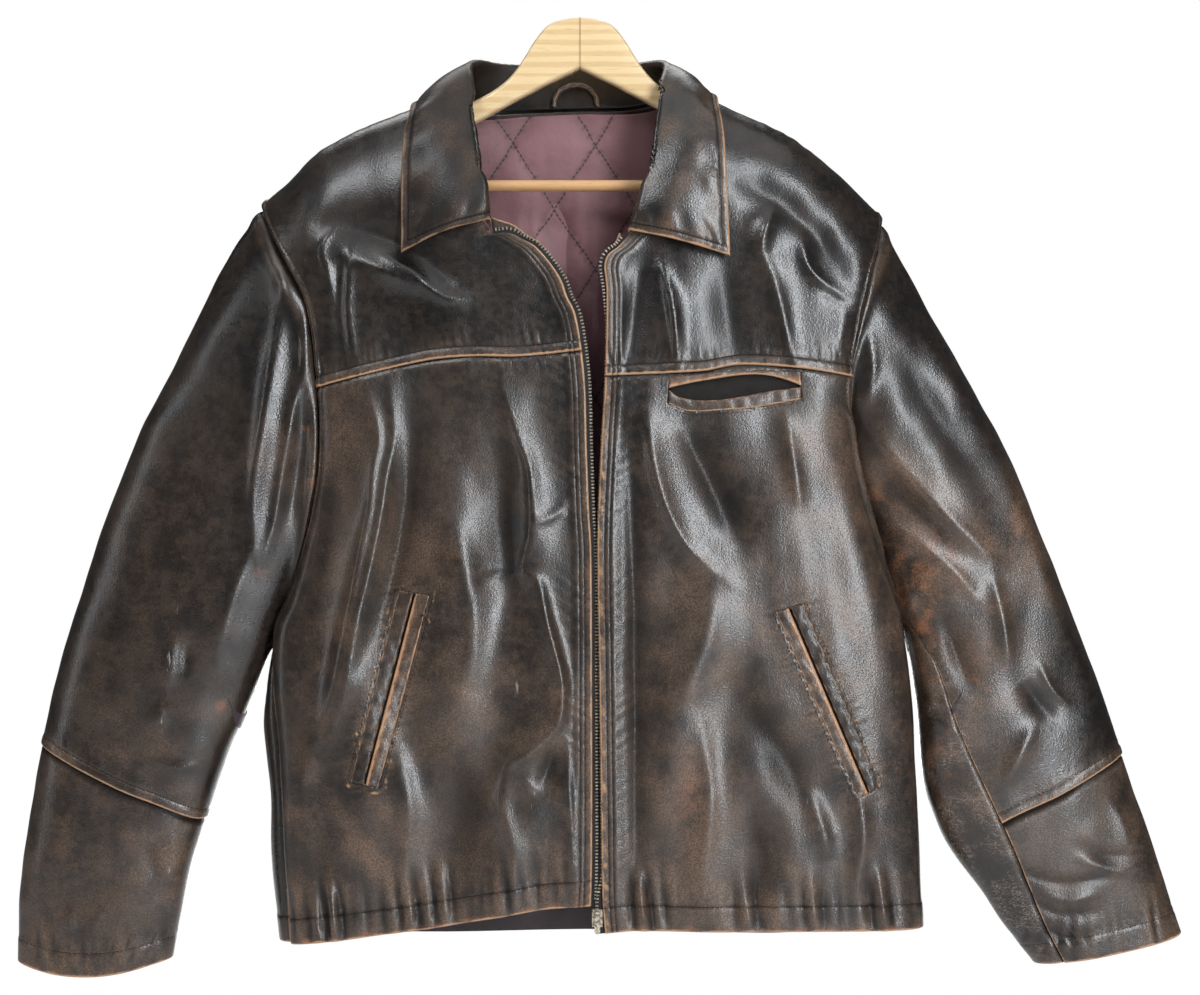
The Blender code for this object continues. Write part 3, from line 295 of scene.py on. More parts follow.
def facing(grid, outside):
    """Unit normals of a grid that point out of the coat."""
    normal = normals_of(grid)
    return normal * np.sign(np.sum(normal * outside, axis=2).mean())


def waves(size, seed, *coordinates, count=10):
    """A smooth random field from -1 to 1 over the coordinates, with features about size long."""
    draw = np.random.default_rng(seed)
    total = np.zeros(np.broadcast(*coordinates).shape)
    for _ in range(count):
        heading = draw.normal(size=len(coordinates))
        heading *= draw.uniform(0.6, 1.5) * 2 * math.pi / size / np.linalg.norm(heading)
        phase = draw.uniform(0, 2 * math.pi)
        total = total + np.sin(sum(h * c for h, c in zip(heading, coordinates)) + phase)
    return total / math.sqrt(count) / 1.4


def puckers(run, seed, size=6.0, flat=0.4):
    """Uneven gathers along a line of stitches: 0 to 1, less the level of the flat leather."""
    fine = waves(size, seed, run, count=7)
    strength = 0.6 + 0.4 * waves(size * 9, seed + 1, run, count=4)
    return np.clip(0.5 + 0.6 * fine, 0, 1) * np.clip(strength, 0.15, 1) - flat


def strokes(x, z, table):
    """Height of folds over (across, height).

    Each row has a height, which sinks if below zero, its widths on the left and on the right of its line
    as seen going down it, and the line's points.
    """
    raised = np.zeros(np.shape(x))
    for height, left, right, *points in table:
        line = along(points, np.linspace(0, 1, 5 * len(points)))
        reach = 3.2 * max(left, right)
        low, high = line.min(0) - reach, line.max(0) + reach
        near = (x > low[0]) & (x < high[0]) & (z > low[1]) & (z < high[1])
        if not near.any():
            continue
        at = np.stack([x[near], z[near]], -1)[:, None]
        start, step = line[:-1], np.diff(line, axis=0)
        t = np.clip(np.sum((at - start) * step, 2) / np.sum(step * step, 1), 0, 1)
        off = at - start - t[..., None] * step
        gap = np.linalg.norm(off, axis=2)
        nearest = gap.argmin(1)
        rows = np.arange(len(at))
        turned = (step[:, 0] * off[..., 1] - step[:, 1] * off[..., 0])[rows, nearest]
        share = (nearest + t[rows, nearest]) / len(step)
        taper = np.sin(math.pi * np.clip(share * 0.92 + 0.04, 0, 1)) ** 0.7
        gap = gap.min(1)
        sideways = turned * gap / (np.abs(turned) + 1e-9)
        width = left + (right - left) * smoothstep(-0.3 * left, 0.3 * right, sideways)
        crest = min(left, right) * (0.30 if height > 0 else 0.8)
        fall = (np.sqrt(gap * gap + crest * crest) - crest) / (0.62 * width)
        raised[near] += height * taper * np.exp(-fall)
    return raised


def hollows(x, z, table):
    """How far down in a trough between folds each point lies, from 0 to 0.7: the strength of the painted
    shading there.
    """
    return 0.7 * np.clip(-strokes(x, z, table) / 4, 0, 1)


def shoulder_round(below):
    part = np.clip(below / SHOULDER_ROUND, 0, 1)
    return np.sqrt(1 - (1 - part) ** 2)


def front_depth(side, x, z):
    """Depth of the outside of a front at (across, height), before its small folds."""
    x, z = np.asarray(x, float), np.asarray(z, float)
    edge = smooth_through([row[::-1] for row in NECK[side] + ZIP_EDGE[side][5:]], 0, z)[..., 1]
    outer = smooth_through(ARM_AND_SIDE[side], 1, z)
    full = smooth_through(FRONT_DEPTH[side], 0, z)[..., 1]
    across = np.clip(PAST_EDGE * (x - edge) / (outer[..., 0] - edge), 0, 1)
    power = smooth_through(FRONT_SQUARENESS, 0, z)[..., 1]
    turn_back = (1 - across ** power) ** (1 / power)
    depth = outer[..., 2] + (full - outer[..., 2]) * turn_back
    top = smooth_through(SHOULDER[side], 0, x)[..., 1]
    rounding = shoulder_round(top - z)
    depth = depth * rounding - SHOULDER_GAP * (1 - rounding)
    calm_side = np.clip(1.6 - 1.6 * across ** 4, 0, 1)
    sway = waves(80, FRONT_SWAY[side], x, 0.4 * z) * rounding * np.clip(5 * across, 0, 1)
    sway = sway * ((1.4 if side == "right" else 0.8) + 1.3 * smoothstep(-430, -560, z))
    lower_folds = 1 + (0.35 if side == "right" else 0.15) * smoothstep(-330, -400, z)
    return depth - (lower_folds * strokes(x, z, FRONT_FOLDS[side]) + sway) * calm_side


def on_front(side, flat, deeper=0.0):
    flat = np.asarray(flat, float)
    x, z = flat[..., 0], flat[..., 1]
    return np.stack([x, front_depth(side, x, z) + deeper, z], -1)


def ticks(length, step, low=(0.0,), high=(0.0,)):
    """Places along a length: some at set distances from either end, and even steps in between."""
    low, high = np.array(low, float), length - np.array(high, float)[::-1]
    count = max(int(round((high[0] - low[-1]) / step)), 2)
    return np.concatenate([low, np.linspace(low[-1], high[0], count + 1)[1:-1], high])


def cubic(grid, u, v):
    """Smooth interpolation in a grid: u runs along its columns and v along its rows, both from 0 to 1."""
    rows, columns = grid.shape[:2]
    v_at, u_at = np.clip(v, 0, 1) * (rows - 1), np.clip(u, 0, 1) * (columns - 1)
    i, j = np.minimum(v_at.astype(int), rows - 2), np.minimum(u_at.astype(int), columns - 2)

    def weights(t):
        return [
            -0.5 * t ** 3 + t ** 2 - 0.5 * t, 1.5 * t ** 3 - 2.5 * t ** 2 + 1,
            -1.5 * t ** 3 + 2 * t ** 2 + 0.5 * t, 0.5 * t ** 3 - 0.5 * t ** 2,
        ]

    total = 0
    padded = np.concatenate([2 * grid[:1] - grid[1:2], grid, 2 * grid[-1:] - grid[-2:-1]], 0)
    padded = np.concatenate([2 * padded[:, :1] - padded[:, 1:2], padded,
                             2 * padded[:, -1:] - padded[:, -2:-1]], 1)
    for di, row_weight in enumerate(weights(v_at - i)):
        for dj, column_weight in enumerate(weights(u_at - j)):
            total = total + (row_weight * column_weight)[..., None] * padded[i + di, j + dj]
    return total


def evened(surface, across, up, coarse=(49, 65)):
    """Grid over a surface of two shares, its columns and rows at these distances, in mm, from the edges.

    The surface takes (share across, share up). The distances hold at both ends however long each row is.
    """
    v, u = np.linspace(0, 1, coarse[0]), np.linspace(0, 1, coarse[1])
    points = surface(*np.broadcast_arrays(u[None], v[:, None]))

    def table(steps, shares, places):
        run = np.concatenate([np.zeros((1, steps.shape[1])), np.cumsum(steps, 0)])
        full, blend = places[-1], smoothstep(0.1, 0.9, places / places[-1])
        out = []
        for length in run.T:
            at = places * (1 - blend) + (length[-1] - (full - places)) * blend
            out.append(np.interp(at, length, shares))
        return np.array(out)

    u_table = table(np.linalg.norm(np.diff(points, axis=1), axis=2).T, u, across)
    v_table = table(np.linalg.norm(np.diff(points, axis=0), axis=2), v, up).T
    vv = np.repeat(v_table.mean(1)[:, None], len(across), 1)
    uu = np.zeros_like(vv)
    for _ in range(4):
        for j in range(len(across)):
            uu[:, j] = np.interp(vv[:, j], v, u_table[:, j])
        for i in range(len(up)):
            vv[i] = np.interp(uu[i], u, v_table[i])
    return surface(uu, vv), uu, vv


# ---------------------------------------------------------------- folds, seams, wear and painted shading

# Folds of the fronts: how far the cloth stands out (it sinks if below zero), width on the left and on the
# right of the line as seen going down it, then across, height
FRONT_FOLDS = {
    "right": [
        (6, 16, 14, (-187, -205), (-128, -232)),      # swag under the collar point
        (-7, 12, 14, (-214, -178), (-180, -183), (-150, -194), (-119, -214), (-104, -232)),
        (5, 8, 9, (-166, -201), (-150, -211), (-134, -221), (-122, -232), (-107, -240), (-88, -241)),
        (3, 5, 5, (-203, -183), (-211, -200), (-206, -220), (-200, -246)),
        (3.5, 6, 6, (-189, -203), (-189, -228), (-190, -250), (-186, -281), (-181, -302)),
        (-3, 5, 5, (-196, -204), (-198, -240), (-195, -300)),
        (4, 20, 24, (-172, -316), (-164, -390), (-178, -470), (-200, -560), (-216, -630)),
        (3.6, 10, 6, (-174, -316), (-164, -352), (-169, -380), (-172, -413), (-181, -456),
         (-189, -500), (-197, -536), (-204, -565), (-216, -598), (-223, -620)),
        (4.2, 5, 15, (-155, -312), (-152, -352), (-157, -383), (-162, -420), (-171, -463),
         (-180, -500), (-188, -536), (-195, -567), (-206, -604)),
        (-6, 14, 16, (-136, -318), (-137, -367), (-142, -413), (-152, -463), (-165, -506), (-176, -540)),
        (-5, 9, 11, (-206, -372), (-209, -430), (-221, -490), (-240, -540)),
        (4.6, 5, 17, (-64, -309), (-58, -330), (-49, -358), (-45, -367), (-41, -383), (-39, -413),
         (-40, -435), (-47, -463)),
        (5.5, 17, 6, (-46, -464), (-34, -472), (-26, -506), (-18, -536), (-14, -558), (-16, -584),
         (-26, -600), (-46, -615)),
        (5, 11, 20, (-40, -610), (-57, -622), (-62, -638), (-64, -656), (-58, -678), (-54, -696),
         (-56, -721), (-57, -745)),
        (-4.5, 16, 12, (-68, -330), (-62, -380), (-60, -440), (-52, -500)),
        (-4.5, 8, 8, (-20, -602), (-24, -622), (-32, -640)),
        (3, 10, 6, (-12, -590), (-9, -630), (-6, -690), (-8, -730)),
        (-5, 22, 20, (-108, -610), (-92, -650), (-100, -720)),
        (5, 22, 18, (-150, -600), (-140, -660), (-146, -730)),
        (4, 18, 18, (-100, -430), (-86, -500), (-92, -560)),
        (-1.2, 3, 3, (-48, -463), (-66, -466), (-84, -472)),
        (1.5, 4, 4, (-40, -424), (-22, -418), (-10, -408)),
        (3.5, 10, 10, (-222, -610), (-228, -650), (-220, -700)),
    ],
    "left": [
        (6.5, 6, 9, (66, -210), (74, -240), (78, -270), (80, -296)),
        (-4, 8, 8, (50, -214), (45, -250), (42, -290)),
        (-5, 14, 14, (118, -214), (122, -250), (128, -292)),
        (5.5, 10, 10, (158, -168), (150, -190), (149, -205)),
        (4, 7, 8, (149, -202), (158, -224), (165, -250), (172, -281), (178, -298)),
        (-6, 12, 14, (128, -140), (164, -160), (196, -190), (222, -226)),
        (4, 8, 8, (182, -188), (187, -212), (198, -225), (212, -235), (222, -243)),
        (-3, 4, 5, (200, -235), (214, -241), (226, -243)),
        (3, 8, 6, (218, -246), (214, -276), (212, -305)),
        (-4.5, 6, 12, (42, -350), (44, -450), (46, -560), (47, -732)),
        (6, 7, 16, (54, -330), (59, -370), (70, -410), (88, -444), (112, -466)),
        (-6, 11, 15, (84, -345), (98, -370), (113, -401), (130, -438)),
        (3.5, 9, 9, (168, -334), (174, -370), (180, -410)),
        (2.5, 14, 22, (200, -350), (222, -410), (238, -480), (246, -550)),
        (-4.5, 18, 18, (120, -545), (150, -590), (180, -640), (206, -680)),
        (4, 11, 11, (186, -640), (198, -672), (204, -700)),
        (3.5, 9, 9, (226, -636), (232, -680), (226, -730)),
        (4.5, 16, 14, (100, -590), (106, -650), (98, -735)),
        (-4, 12, 12, (140, -660), (150, -700), (146, -735)),
        (3, 16, 16, (110, -480), (100, -530), (84, -570)),
    ],
}
FRONT_SWAY = {"right": 17, "left": 18}
SLEEVE_FRONT_FOLDS = {
    "right": [
        (7.5, 10, 19, (-242, -214), (-247, -254), (-254, -300), (-262, -351), (-269, -400), (-268, -448)),
        (4, 5, 9, (-224, -233), (-227, -292), (-235, -326), (-241, -360), (-247, -393), (-252, -423),
         (-260, -450)),
        (3.5, 7, 4, (-216, -310), (-217, -351), (-221, -385), (-226, -410), (-230, -440)),
        (-3, 6, 6, (-228, -330), (-232, -370), (-240, -420)),
        (3, 12, 12, (-268, -436), (-278, -464), (-287, -490), (-296, -520), (-301, -556)),
        (2.2, 5, 5, (-334, -518), (-337, -536), (-339, -560)),
        (-1.8, 4, 4, (-322, -520), (-326, -550)),
        (2, 5, 4, (-350, -620), (-334, -626), (-316, -624)),
        (2.5, 7, 7, (-347, -574), (-346, -594)),
        (3, 8, 8, (-340, -680), (-336, -700), (-344, -736)),
        (-2.5, 6, 6, (-356, -690), (-352, -720)),
        (2, 4, 4, (-420, -745), (-424, -762)),
        (2, 4, 4, (-396, -742), (-402, -764)),
    ],
    "left": [
        (5, 13, 13, (252, -196), (268, -226), (287, -262), (308, -300), (330, -336), (350, -372)),
        (5, 12, 12, (350, -372), (372, -426), (392, -480), (412, -528), (430, -580)),
        (6, 9, 13, (230, -330), (250, -360), (272, -387), (298, -416), (324, -438), (340, -454)),
        (4.5, 7, 9, (242, -412), (260, -426), (282, -443), (308, -464), (326, -484)),
        (-5, 10, 10, (250, -385), (276, -408), (300, -434)),
        (3.5, 6, 6, (238, -268), (241, -296), (236, -326)),
        (-5, 14, 14, (262, -282), (286, -320), (310, -360), (340, -400)),
        (4, 9, 9, (342, -470), (350, -510), (354, -540)),
        (4.5, 6, 6, (276, -474), (273, -488), (268, -500)),
        (-4, 9, 9, (296, -494), (312, -530), (322, -560)),
        (-4, 8, 8, (366, -556), (378, -572), (392, -586)),
        (2.5, 6, 6, (380, -540), (390, -560), (404, -574)),
        (1.4, 2.5, 2.5, (280, -548), (294, -556), (306, -560)),
        (1.4, 2.5, 2.5, (284, -566), (300, -574), (312, -577)),
        (1.4, 2.5, 2.5, (290, -585), (306, -595), (318, -600)),
        (3, 8, 8, (352, -640), (366, -610), (376, -590)),
        (-2.2, 4, 4, (412, -690), (440, -700), (470, -696)),
        (2.4, 4, 4, (415, -702), (445, -712), (468, -707)),
        (3, 7, 7, (440, -652), (452, -676), (456, -700)),
        (-2.2, 4, 4, (362, -712), (400, -722), (440, -716)),
        (-2.2, 4, 4, (379, -740), (400, -748), (429, -746)),
        (2, 4, 4, (384, -731), (402, -737), (430, -731)),
        (-2, 3, 3, (384, -758), (405, -768), (426, -764)),
    ],
}
SLEEVE_BACK_FOLDS = {
    "right": [
        (5, 13, 13, (-262, -310), (-280, -370), (-292, -430)),
        (3, 7, 7, (-246, -350), (-256, -400), (-270, -450)),
        (-3.5, 8, 8, (-330, -470), (-352, -484), (-372, -500)),
        (3.2, 8, 8, (-322, -505), (-352, -516), (-380, -530)),
        (2.3, 5, 5, (-330, -540), (-352, -550), (-372, -556)),
        (4, 16, 16, (-300, -240), (-330, -330), (-356, -420)),
        (-1.8, 4, 4, (-352, -720), (-420, -712)),
    ],
    "left": [
        (5, 13, 13, (256, -320), (276, -372), (300, -425)),
        (3, 7, 7, (252, -380), (270, -420), (292, -452)),
        (-3.5, 8, 8, (312, -480), (334, -498), (356, -512)),
        (3.2, 8, 8, (318, -520), (346, -534), (372, -545)),
        (2.3, 5, 5, (326, -560), (350, -568), (372, -570)),
        (4, 16, 16, (300, -240), (340, -330), (376, -420)),
        (-1.8, 4, 4, (390, -716), (450, -700)),
    ],
}
BACK_FOLDS = [
    (5, 22, 26, (-196, -190), (-120, -236), (-20, -252), (90, -240), (188, -186)),
    (4, 10, 12, (-176, -150), (-154, -215), (-136, -300)),
    (4, 12, 10, (168, -160), (148, -230), (136, -310)),
    (-4, 10, 10, (-206, -250), (-196, -330), (-204, -420)),
    (-4, 10, 10, (204, -250), (198, -340), (208, -430)),
    (5, 12, 18, (-120, -330), (-138, -470), (-128, -640), (-150, -760)),
    (4.5, 16, 11, (60, -360), (78, -500), (64, -640), (84, -765)),
    (-4, 12, 12, (-40, -400), (-28, -520), (-46, -640), (-40, -740)),
    (3.5, 8, 10, (160, -470), (176, -590), (168, -740)),
    (3.5, 10, 8, (-214, -480), (-206, -600), (-216, -720)),
    (-3, 9, 9, (120, -520), (112, -640), (122, -750)),
    (-2, 6, 6, (10, -300), (22, -380), (8, -450)),
    (2.5, 6, 7, (-80, -262), (-92, -350)),
    (2.4, 6, 6, (100, -262), (106, -345)),
    (3, 9, 9, (10, -560), (18, -660), (6, -760)),
]
# Wear of the fronts: centre (across, height), half width, half height, strength
BROWN = {
    "right": [
        (-125, -450, 34, 44, 0.9), (-205, -470, 40, 90, 0.7), (-196, -345, 30, 40, 0.6),
        (-90, -560, 80, 70, 0.7), (-16, -575, 26, 40, 0.8), (-210, -690, 60, 60, 0.8),
        (-130, -700, 90, 46, 0.7),
        (-20, -690, 40, 60, 0.4), (-80, -370, 50, 50, 0.35), (-90, -640, 40, 30, 0.2),
    ],
    "left": [
        (200, -400, 40, 90, 0.8), (130, -470, 90, 40, 0.85), (88, -650, 40, 80, 0.9),
        (210, -520, 60, 60, 0.75),
        (120, -560, 100, 60, 0.65), (220, -640, 50, 90, 0.7), (150, -720, 130, 50, 0.8),
        (100, -380, 70, 40, 0.3),
    ],
}
ORANGE = {
    "right": [(-226, -505, 14, 30, 0.3), (-130, -445, 14, 22, 0.3), (-16, -575, 16, 24, 0.3)],
    "left": [(232, -520, 26, 60, 0.3), (262, -600, 18, 70, 0.3), (88, -640, 16, 40, 0.5),
             (60, -690, 30, 40, 0.25)],
}
PALE = {
    "right": [(-74, -563, 34, 9, 0.5), (-36, -646, 18, 24, 0.25), (-176, -420, 8, 50, 0.2)],
    "left": [(190, -270, 18, 30, 0.2), (66, -400, 12, 40, 0.2), (196, -662, 12, 18, 0.25)],
}
SLEEVE_BROWN = {
    "right": [(-330, -470, 60, 110, 0.3), (-400, -640, 50, 120, 0.3), (-345, -690, 30, 80, 0.8),
              (-240, -370, 26, 50, 0.4), (-300, -570, 14, 24, 0.6)],
    "left": [(262, -400, 40, 40, 0.95), (300, -455, 70, 45, 0.95), (290, -520, 40, 50, 0.9),
             (370, -440, 22, 50, 0.7), (330, -590, 50, 70, 0.7), (300, -640, 40, 90, 0.8),
             (420, -690, 60, 60, 0.4)],
}
SLEEVE_ORANGE = {
    "right": [(-222, -345, 10, 5, 0.8), (-216, -390, 11, 5, 0.9), (-262, -462, 22, 9, 0.5),
              (-299, -572, 7, 11, 0.8),
              (-350, -592, 8, 6, 0.3), (-338, -730, 12, 50, 0.4)],
    "left": [(250, -400, 20, 26, 0.5), (300, -440, 40, 26, 0.45), (284, -505, 16, 40, 0.6),
             (330, -545, 30, 26, 0.55),
             (300, -620, 16, 60, 0.5), (362, -425, 20, 34, 0.5), (270, -470, 40, 30, 0.5)],
}
SLEEVE_PALE = {
    "right": [(-337, -540, 5, 20, 0.7), (-346, -590, 5, 12, 0.4), (-340, -626, 16, 3, 0.4),
              (-340, -706, 8, 34, 0.5),
              (-422, -754, 5, 10, 0.4)],
    "left": [(268, -450, 20, 30, 0.2), (350, -512, 10, 24, 0.2), (452, -690, 18, 30, 0.2)],
}


def patches(x, z, table):
    """Strength of wear from soft-edged ovals."""
    left_bare = np.ones(np.shape(x))
    for centre_x, centre_z, half_x, half_z, strength in table:
        away = ((x - centre_x) / half_x) ** 2 + ((z - centre_z) / half_z) ** 2
        left_bare = left_bare * (1 - strength * np.exp(-away))
    return 1 - left_bare


def rounded(distance, radius=1.5):
    """How far a cut edge curls in at this distance from it."""
    part = np.clip(1 - distance / radius, 0, 1)
    return -radius * 0.9 * (1 - np.sqrt(1 - part * part))


def bell(value, width):
    return np.exp(-(value / width) ** 2)


def strongest(*layers):
    """The largest of several layers at each point."""
    return functools.reduce(np.maximum, layers)


def stitched(distance, row, run, seed, depth, gather, reach):
    """Relief about one row of stitches: the row sinks, and the leather on both sides of it gathers."""
    off = np.abs(distance - row)
    return gather * puckers(run, seed) * smoothstep(0, 2.0, off) * bell(off, reach) - depth * bell(off, 0.9)


def undulation(x, z, seed, height=0.8):
    """Gentle unevenness of hanging leather."""
    return height * waves(75, seed, x, 0.6 * z) + 0.22 * height * waves(28, seed + 7, x, 0.5 * z)


def peaks(relief):
    """How much each point stands above the points about it."""
    level = relief.copy()
    for _ in range(4):
        padded = np.pad(level, 1, mode="edge")
        level = (padded[:-2, 1:-1] + padded[2:, 1:-1] + padded[1:-1, :-2] + padded[1:-1, 2:] + level) / 5
    return relief - level


def wear(relief, rub, brown, orange, pale, shade, crack=0.0):
    """Wear layers, with more rubbed off what stands out, and painted shading, darker and less glossy, in what
    lies deep.
    """
    high = peaks(relief)
    return {
        "rub": rub + 0.35 * np.clip(high * 1.6, 0, 1) * np.clip(rub * 2 + brown * 0.5, 0, 1),
        "brown": brown + 0.5 * np.clip(high * 1.5, 0, 1),
        "orange": orange,
        "pale": pale,
        # painted shading in the hollows of the relief
        "shade": shade + 0.7 * np.clip(-high * 1.5, 0, 1),
        "crack": crack,
    }


# ---------------------------------------------------------------- pieces

def make_object(name, points, faces, look, smooth=True):
    """Mesh object from points in mm and a list of arrays of faces, all of one size each."""
    mesh = bpy.data.meshes.new(name)
    points = np.asarray(points, float).reshape(-1, 3) * MM
    sizes = np.concatenate([np.full(len(part), part.shape[1]) for part in faces])
    corners = np.concatenate([part.reshape(-1) for part in faces])
    mesh.vertices.add(len(points))
    mesh.vertices.foreach_set("co", points.reshape(-1))
    mesh.loops.add(len(corners))
    mesh.loops.foreach_set("vertex_index", corners.astype(np.int32))
    mesh.polygons.add(len(sizes))
    mesh.polygons.foreach_set("loop_start", (np.cumsum(sizes) - sizes).astype(np.int32))
    mesh.polygons.foreach_set("use_smooth", np.full(len(sizes), smooth))
    mesh.update(calc_edges=True)
    mesh.validate()
    mesh.materials.append(look)
    obj = bpy.data.objects.new(name, mesh)
    bpy.context.scene.collection.objects.link(obj)
    return obj


def copies(faces, count, points):
    """The same faces for each of many copies of a form with this many points."""
    faces = np.concatenate(faces)
    offsets = np.arange(count)[:, None, None] * points
    return (faces[None] + offsets).reshape(-1, faces.shape[1])


def capped(name, rings, ends, look):
    """Tube through rings of points, closed to a point at each end."""
    count, sides = rings.shape[:2]
    index = np.arange(count * sides).reshape(count, sides)
    after = np.roll(index, -1, 1)
    quads = np.stack([index[:-1], after[:-1], after[1:], index[1:]], -1).reshape(-1, 4)
    first, last = np.full(sides, count * sides), np.full(sides, count * sides + 1)
    caps = np.vstack([np.stack([first, after[0], index[0]], 1), np.stack([last, index[-1], after[-1]], 1)])
    return make_object(name, np.vstack([rings.reshape(-1, 3), ends]), [quads, caps], look)


def tube(name, path, radius, sides, look):
    """Capped tube along a path; the radius has one row per point, or one value per point and side."""
    ahead = unit(np.gradient(path, axis=0))
    side = unit(np.cross(ahead, [0, 1, 0]))
    up = np.cross(side, ahead)
    angles = np.linspace(0, 2 * math.pi, sides, endpoint=False)[None, :, None]
    radius = np.broadcast_to(radius, (len(path), sides))[..., None]
    rings = path[:, None] + radius * (side[:, None] * np.cos(angles) + up[:, None] * np.sin(angles))
    return capped(name, rings, path[[0, -1]], look)


def set_layers(obj, layers, shape):
    """Stores wear layers as values on the mesh's first points; the rest get 0."""
    for name, values in layers.items():
        full = np.zeros(len(obj.data.vertices))
        values = np.clip(np.broadcast_to(values, shape), 0, 1)
        full[:values.size] = values.reshape(-1)
        obj.data.attributes.new(name, "FLOAT", "POINT").data.foreach_set("value", full)


def shell(name, outer, inner, looks, layers, keep=None):
    """Closed shell between two grids, with walls along its edges and round the cells left out by keep."""
    rows, columns = outer.shape[:2]
    if keep is None:
        keep = np.ones((rows - 1, columns - 1), bool)
    index = np.arange(rows * columns).reshape(rows, columns)
    quads = np.stack([index[:-1, :-1], index[:-1, 1:], index[1:, 1:], index[1:, :-1]], -1)
    top = quads[keep]
    low = top[:, ::-1] + rows * columns
    walls = []
    ringed = np.pad(keep, 1)
    here = ringed[1:-1, 1:-1]
    beyond = (ringed[:-2, 1:-1], ringed[1:-1, 2:], ringed[2:, 1:-1], ringed[1:-1, :-2])
    for corner, neighbour in enumerate(beyond):
        edge = quads[here & ~neighbour][:, [corner, (corner + 1) % 4]]
        walls.append(np.concatenate([edge[:, ::-1], edge + rows * columns], 1))
    walls = np.concatenate(walls)
    points = np.concatenate([outer.reshape(-1, 3), inner.reshape(-1, 3)])
    obj = make_object(name, points, [np.concatenate([top, low, walls])], LOOKS[looks[0]])
    for look in looks[1:]:
        obj.data.materials.append(LOOKS[look])
        which = np.concatenate([np.zeros(len(top)), np.ones(len(low)), np.zeros(len(walls))])
        obj.data.polygons.foreach_set("material_index", which.astype(np.int32))
    set_layers(obj, layers, outer.shape[:2])
    tidy_mesh(obj)
    return obj


def tidy_mesh(obj):
    """Drops loose points and turns all faces outward."""
    form = bmesh.new()
    form.from_mesh(obj.data)
    loose = [v for v in form.verts if not v.link_faces]
    bmesh.ops.delete(form, geom=loose, context="VERTS")
    bmesh.ops.recalc_face_normals(form, faces=form.faces)
    form.to_mesh(obj.data)
    form.free()


def place(obj, material_slot, *nodes, body=BODY):
    """Sets what a piece moves with and which solids it stands for. Its finish argument is not used."""
    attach(obj, body)
    if nodes:
        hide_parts(*nodes)
    return obj


def cloth(obj, flat, area):
    flat[0] * MM
    flat[1] * MM
    return obj


def leather_piece(node, material_slot, base, relief, looks, layers, flat,
                  area=None, outside=FRONTWARD, thickness=LEATHER, keep=None):
    """Sheet on a base grid; its outer face takes all the relief. Gives that face's points and normals."""
    normal = facing(base, outside)
    outer = base + normal * relief[..., None]
    inner = base + normal * np.minimum(-thickness, relief - THINNEST)[..., None]
    obj = shell(f"{node}_cloth", outer, inner, looks, layers, keep)
    place(obj, material_slot, node)
    cloth(obj, flat, area)
    return np.stack([outer, facing(outer, outside)])


# ---------------------------------------------------------------- stitches

STITCHES = []
STITCH_PITCH = 3.6
STITCH_LENGTH = 2.7
THREAD_RADIUS = 0.30
# A stitch from end to end: share of its length, width and rise in radii of the thread
STITCH_RINGS = [(0.12, 0.75, 0.0), (0.5, 1.0, 0.55), (0.88, 0.75, 0.0)]
STITCH_END_RISE = -0.6
STITCH_SIDES = 5


def nearest(places, target):
    return int(np.argmin(np.abs(places - target)))


def stitch_row(points, normals):
    """Adds a row of thread stitches along points on a surface."""
    run = run_of(points)
    count = int(run[-1] // STITCH_PITCH)
    if count < 2:
        return
    at = (np.arange(count) + 0.5) * STITCH_PITCH + (run[-1] - count * STITCH_PITCH) / 2
    at = at + np.random.default_rng(len(STITCHES) + 11).uniform(-0.2, 0.2, count)

    def sample(field, places):
        return np.stack([np.interp(places, run, field[:, k]) for k in range(3)], 1)

    start, end = sample(points, at - STITCH_LENGTH / 2), sample(points, at + STITCH_LENGTH / 2)
    up = unit(sample(normals, at))
    side = unit(np.cross(up, unit(end - start)))
    rings = []
    for share, wide, rise in STITCH_RINGS:
        centre = start + (end - start) * share + up * rise * THREAD_RADIUS
        for angle in np.arange(STITCH_SIDES) * 2 * math.pi / STITCH_SIDES:
            around = side * math.cos(angle) + up * 0.8 * math.sin(angle)
            rings.append(centre + THREAD_RADIUS * wide * around)
    tips = [end_point + up * STITCH_END_RISE * THREAD_RADIUS for end_point in (start, end)]
    STITCHES.append(np.stack(rings + tips, 1))


def build_stitches():
    """Joins all rows of stitches into one piece."""
    stitches = np.concatenate(STITCHES)
    around = np.arange(STITCH_SIDES)
    after = (around + 1) % STITCH_SIDES
    first_tip = np.full(STITCH_SIDES, len(STITCH_RINGS) * STITCH_SIDES)
    quads = [np.stack([low + around, low + after, low + STITCH_SIDES + after, low + STITCH_SIDES + around], 1)
             for low in (0, STITCH_SIDES)]
    last = 2 * STITCH_SIDES
    ends = [np.stack([first_tip, after, around], 1),
            np.stack([first_tip + 1, last + around, last + after], 1)]
    faces = [copies(part, len(stitches), stitches.shape[1]) for part in (quads, ends)]
    place(make_object("topstitching", stitches, faces, LOOKS["dark_thread"]), "dark_leather")


# ---------------------------------------------------------------- materials

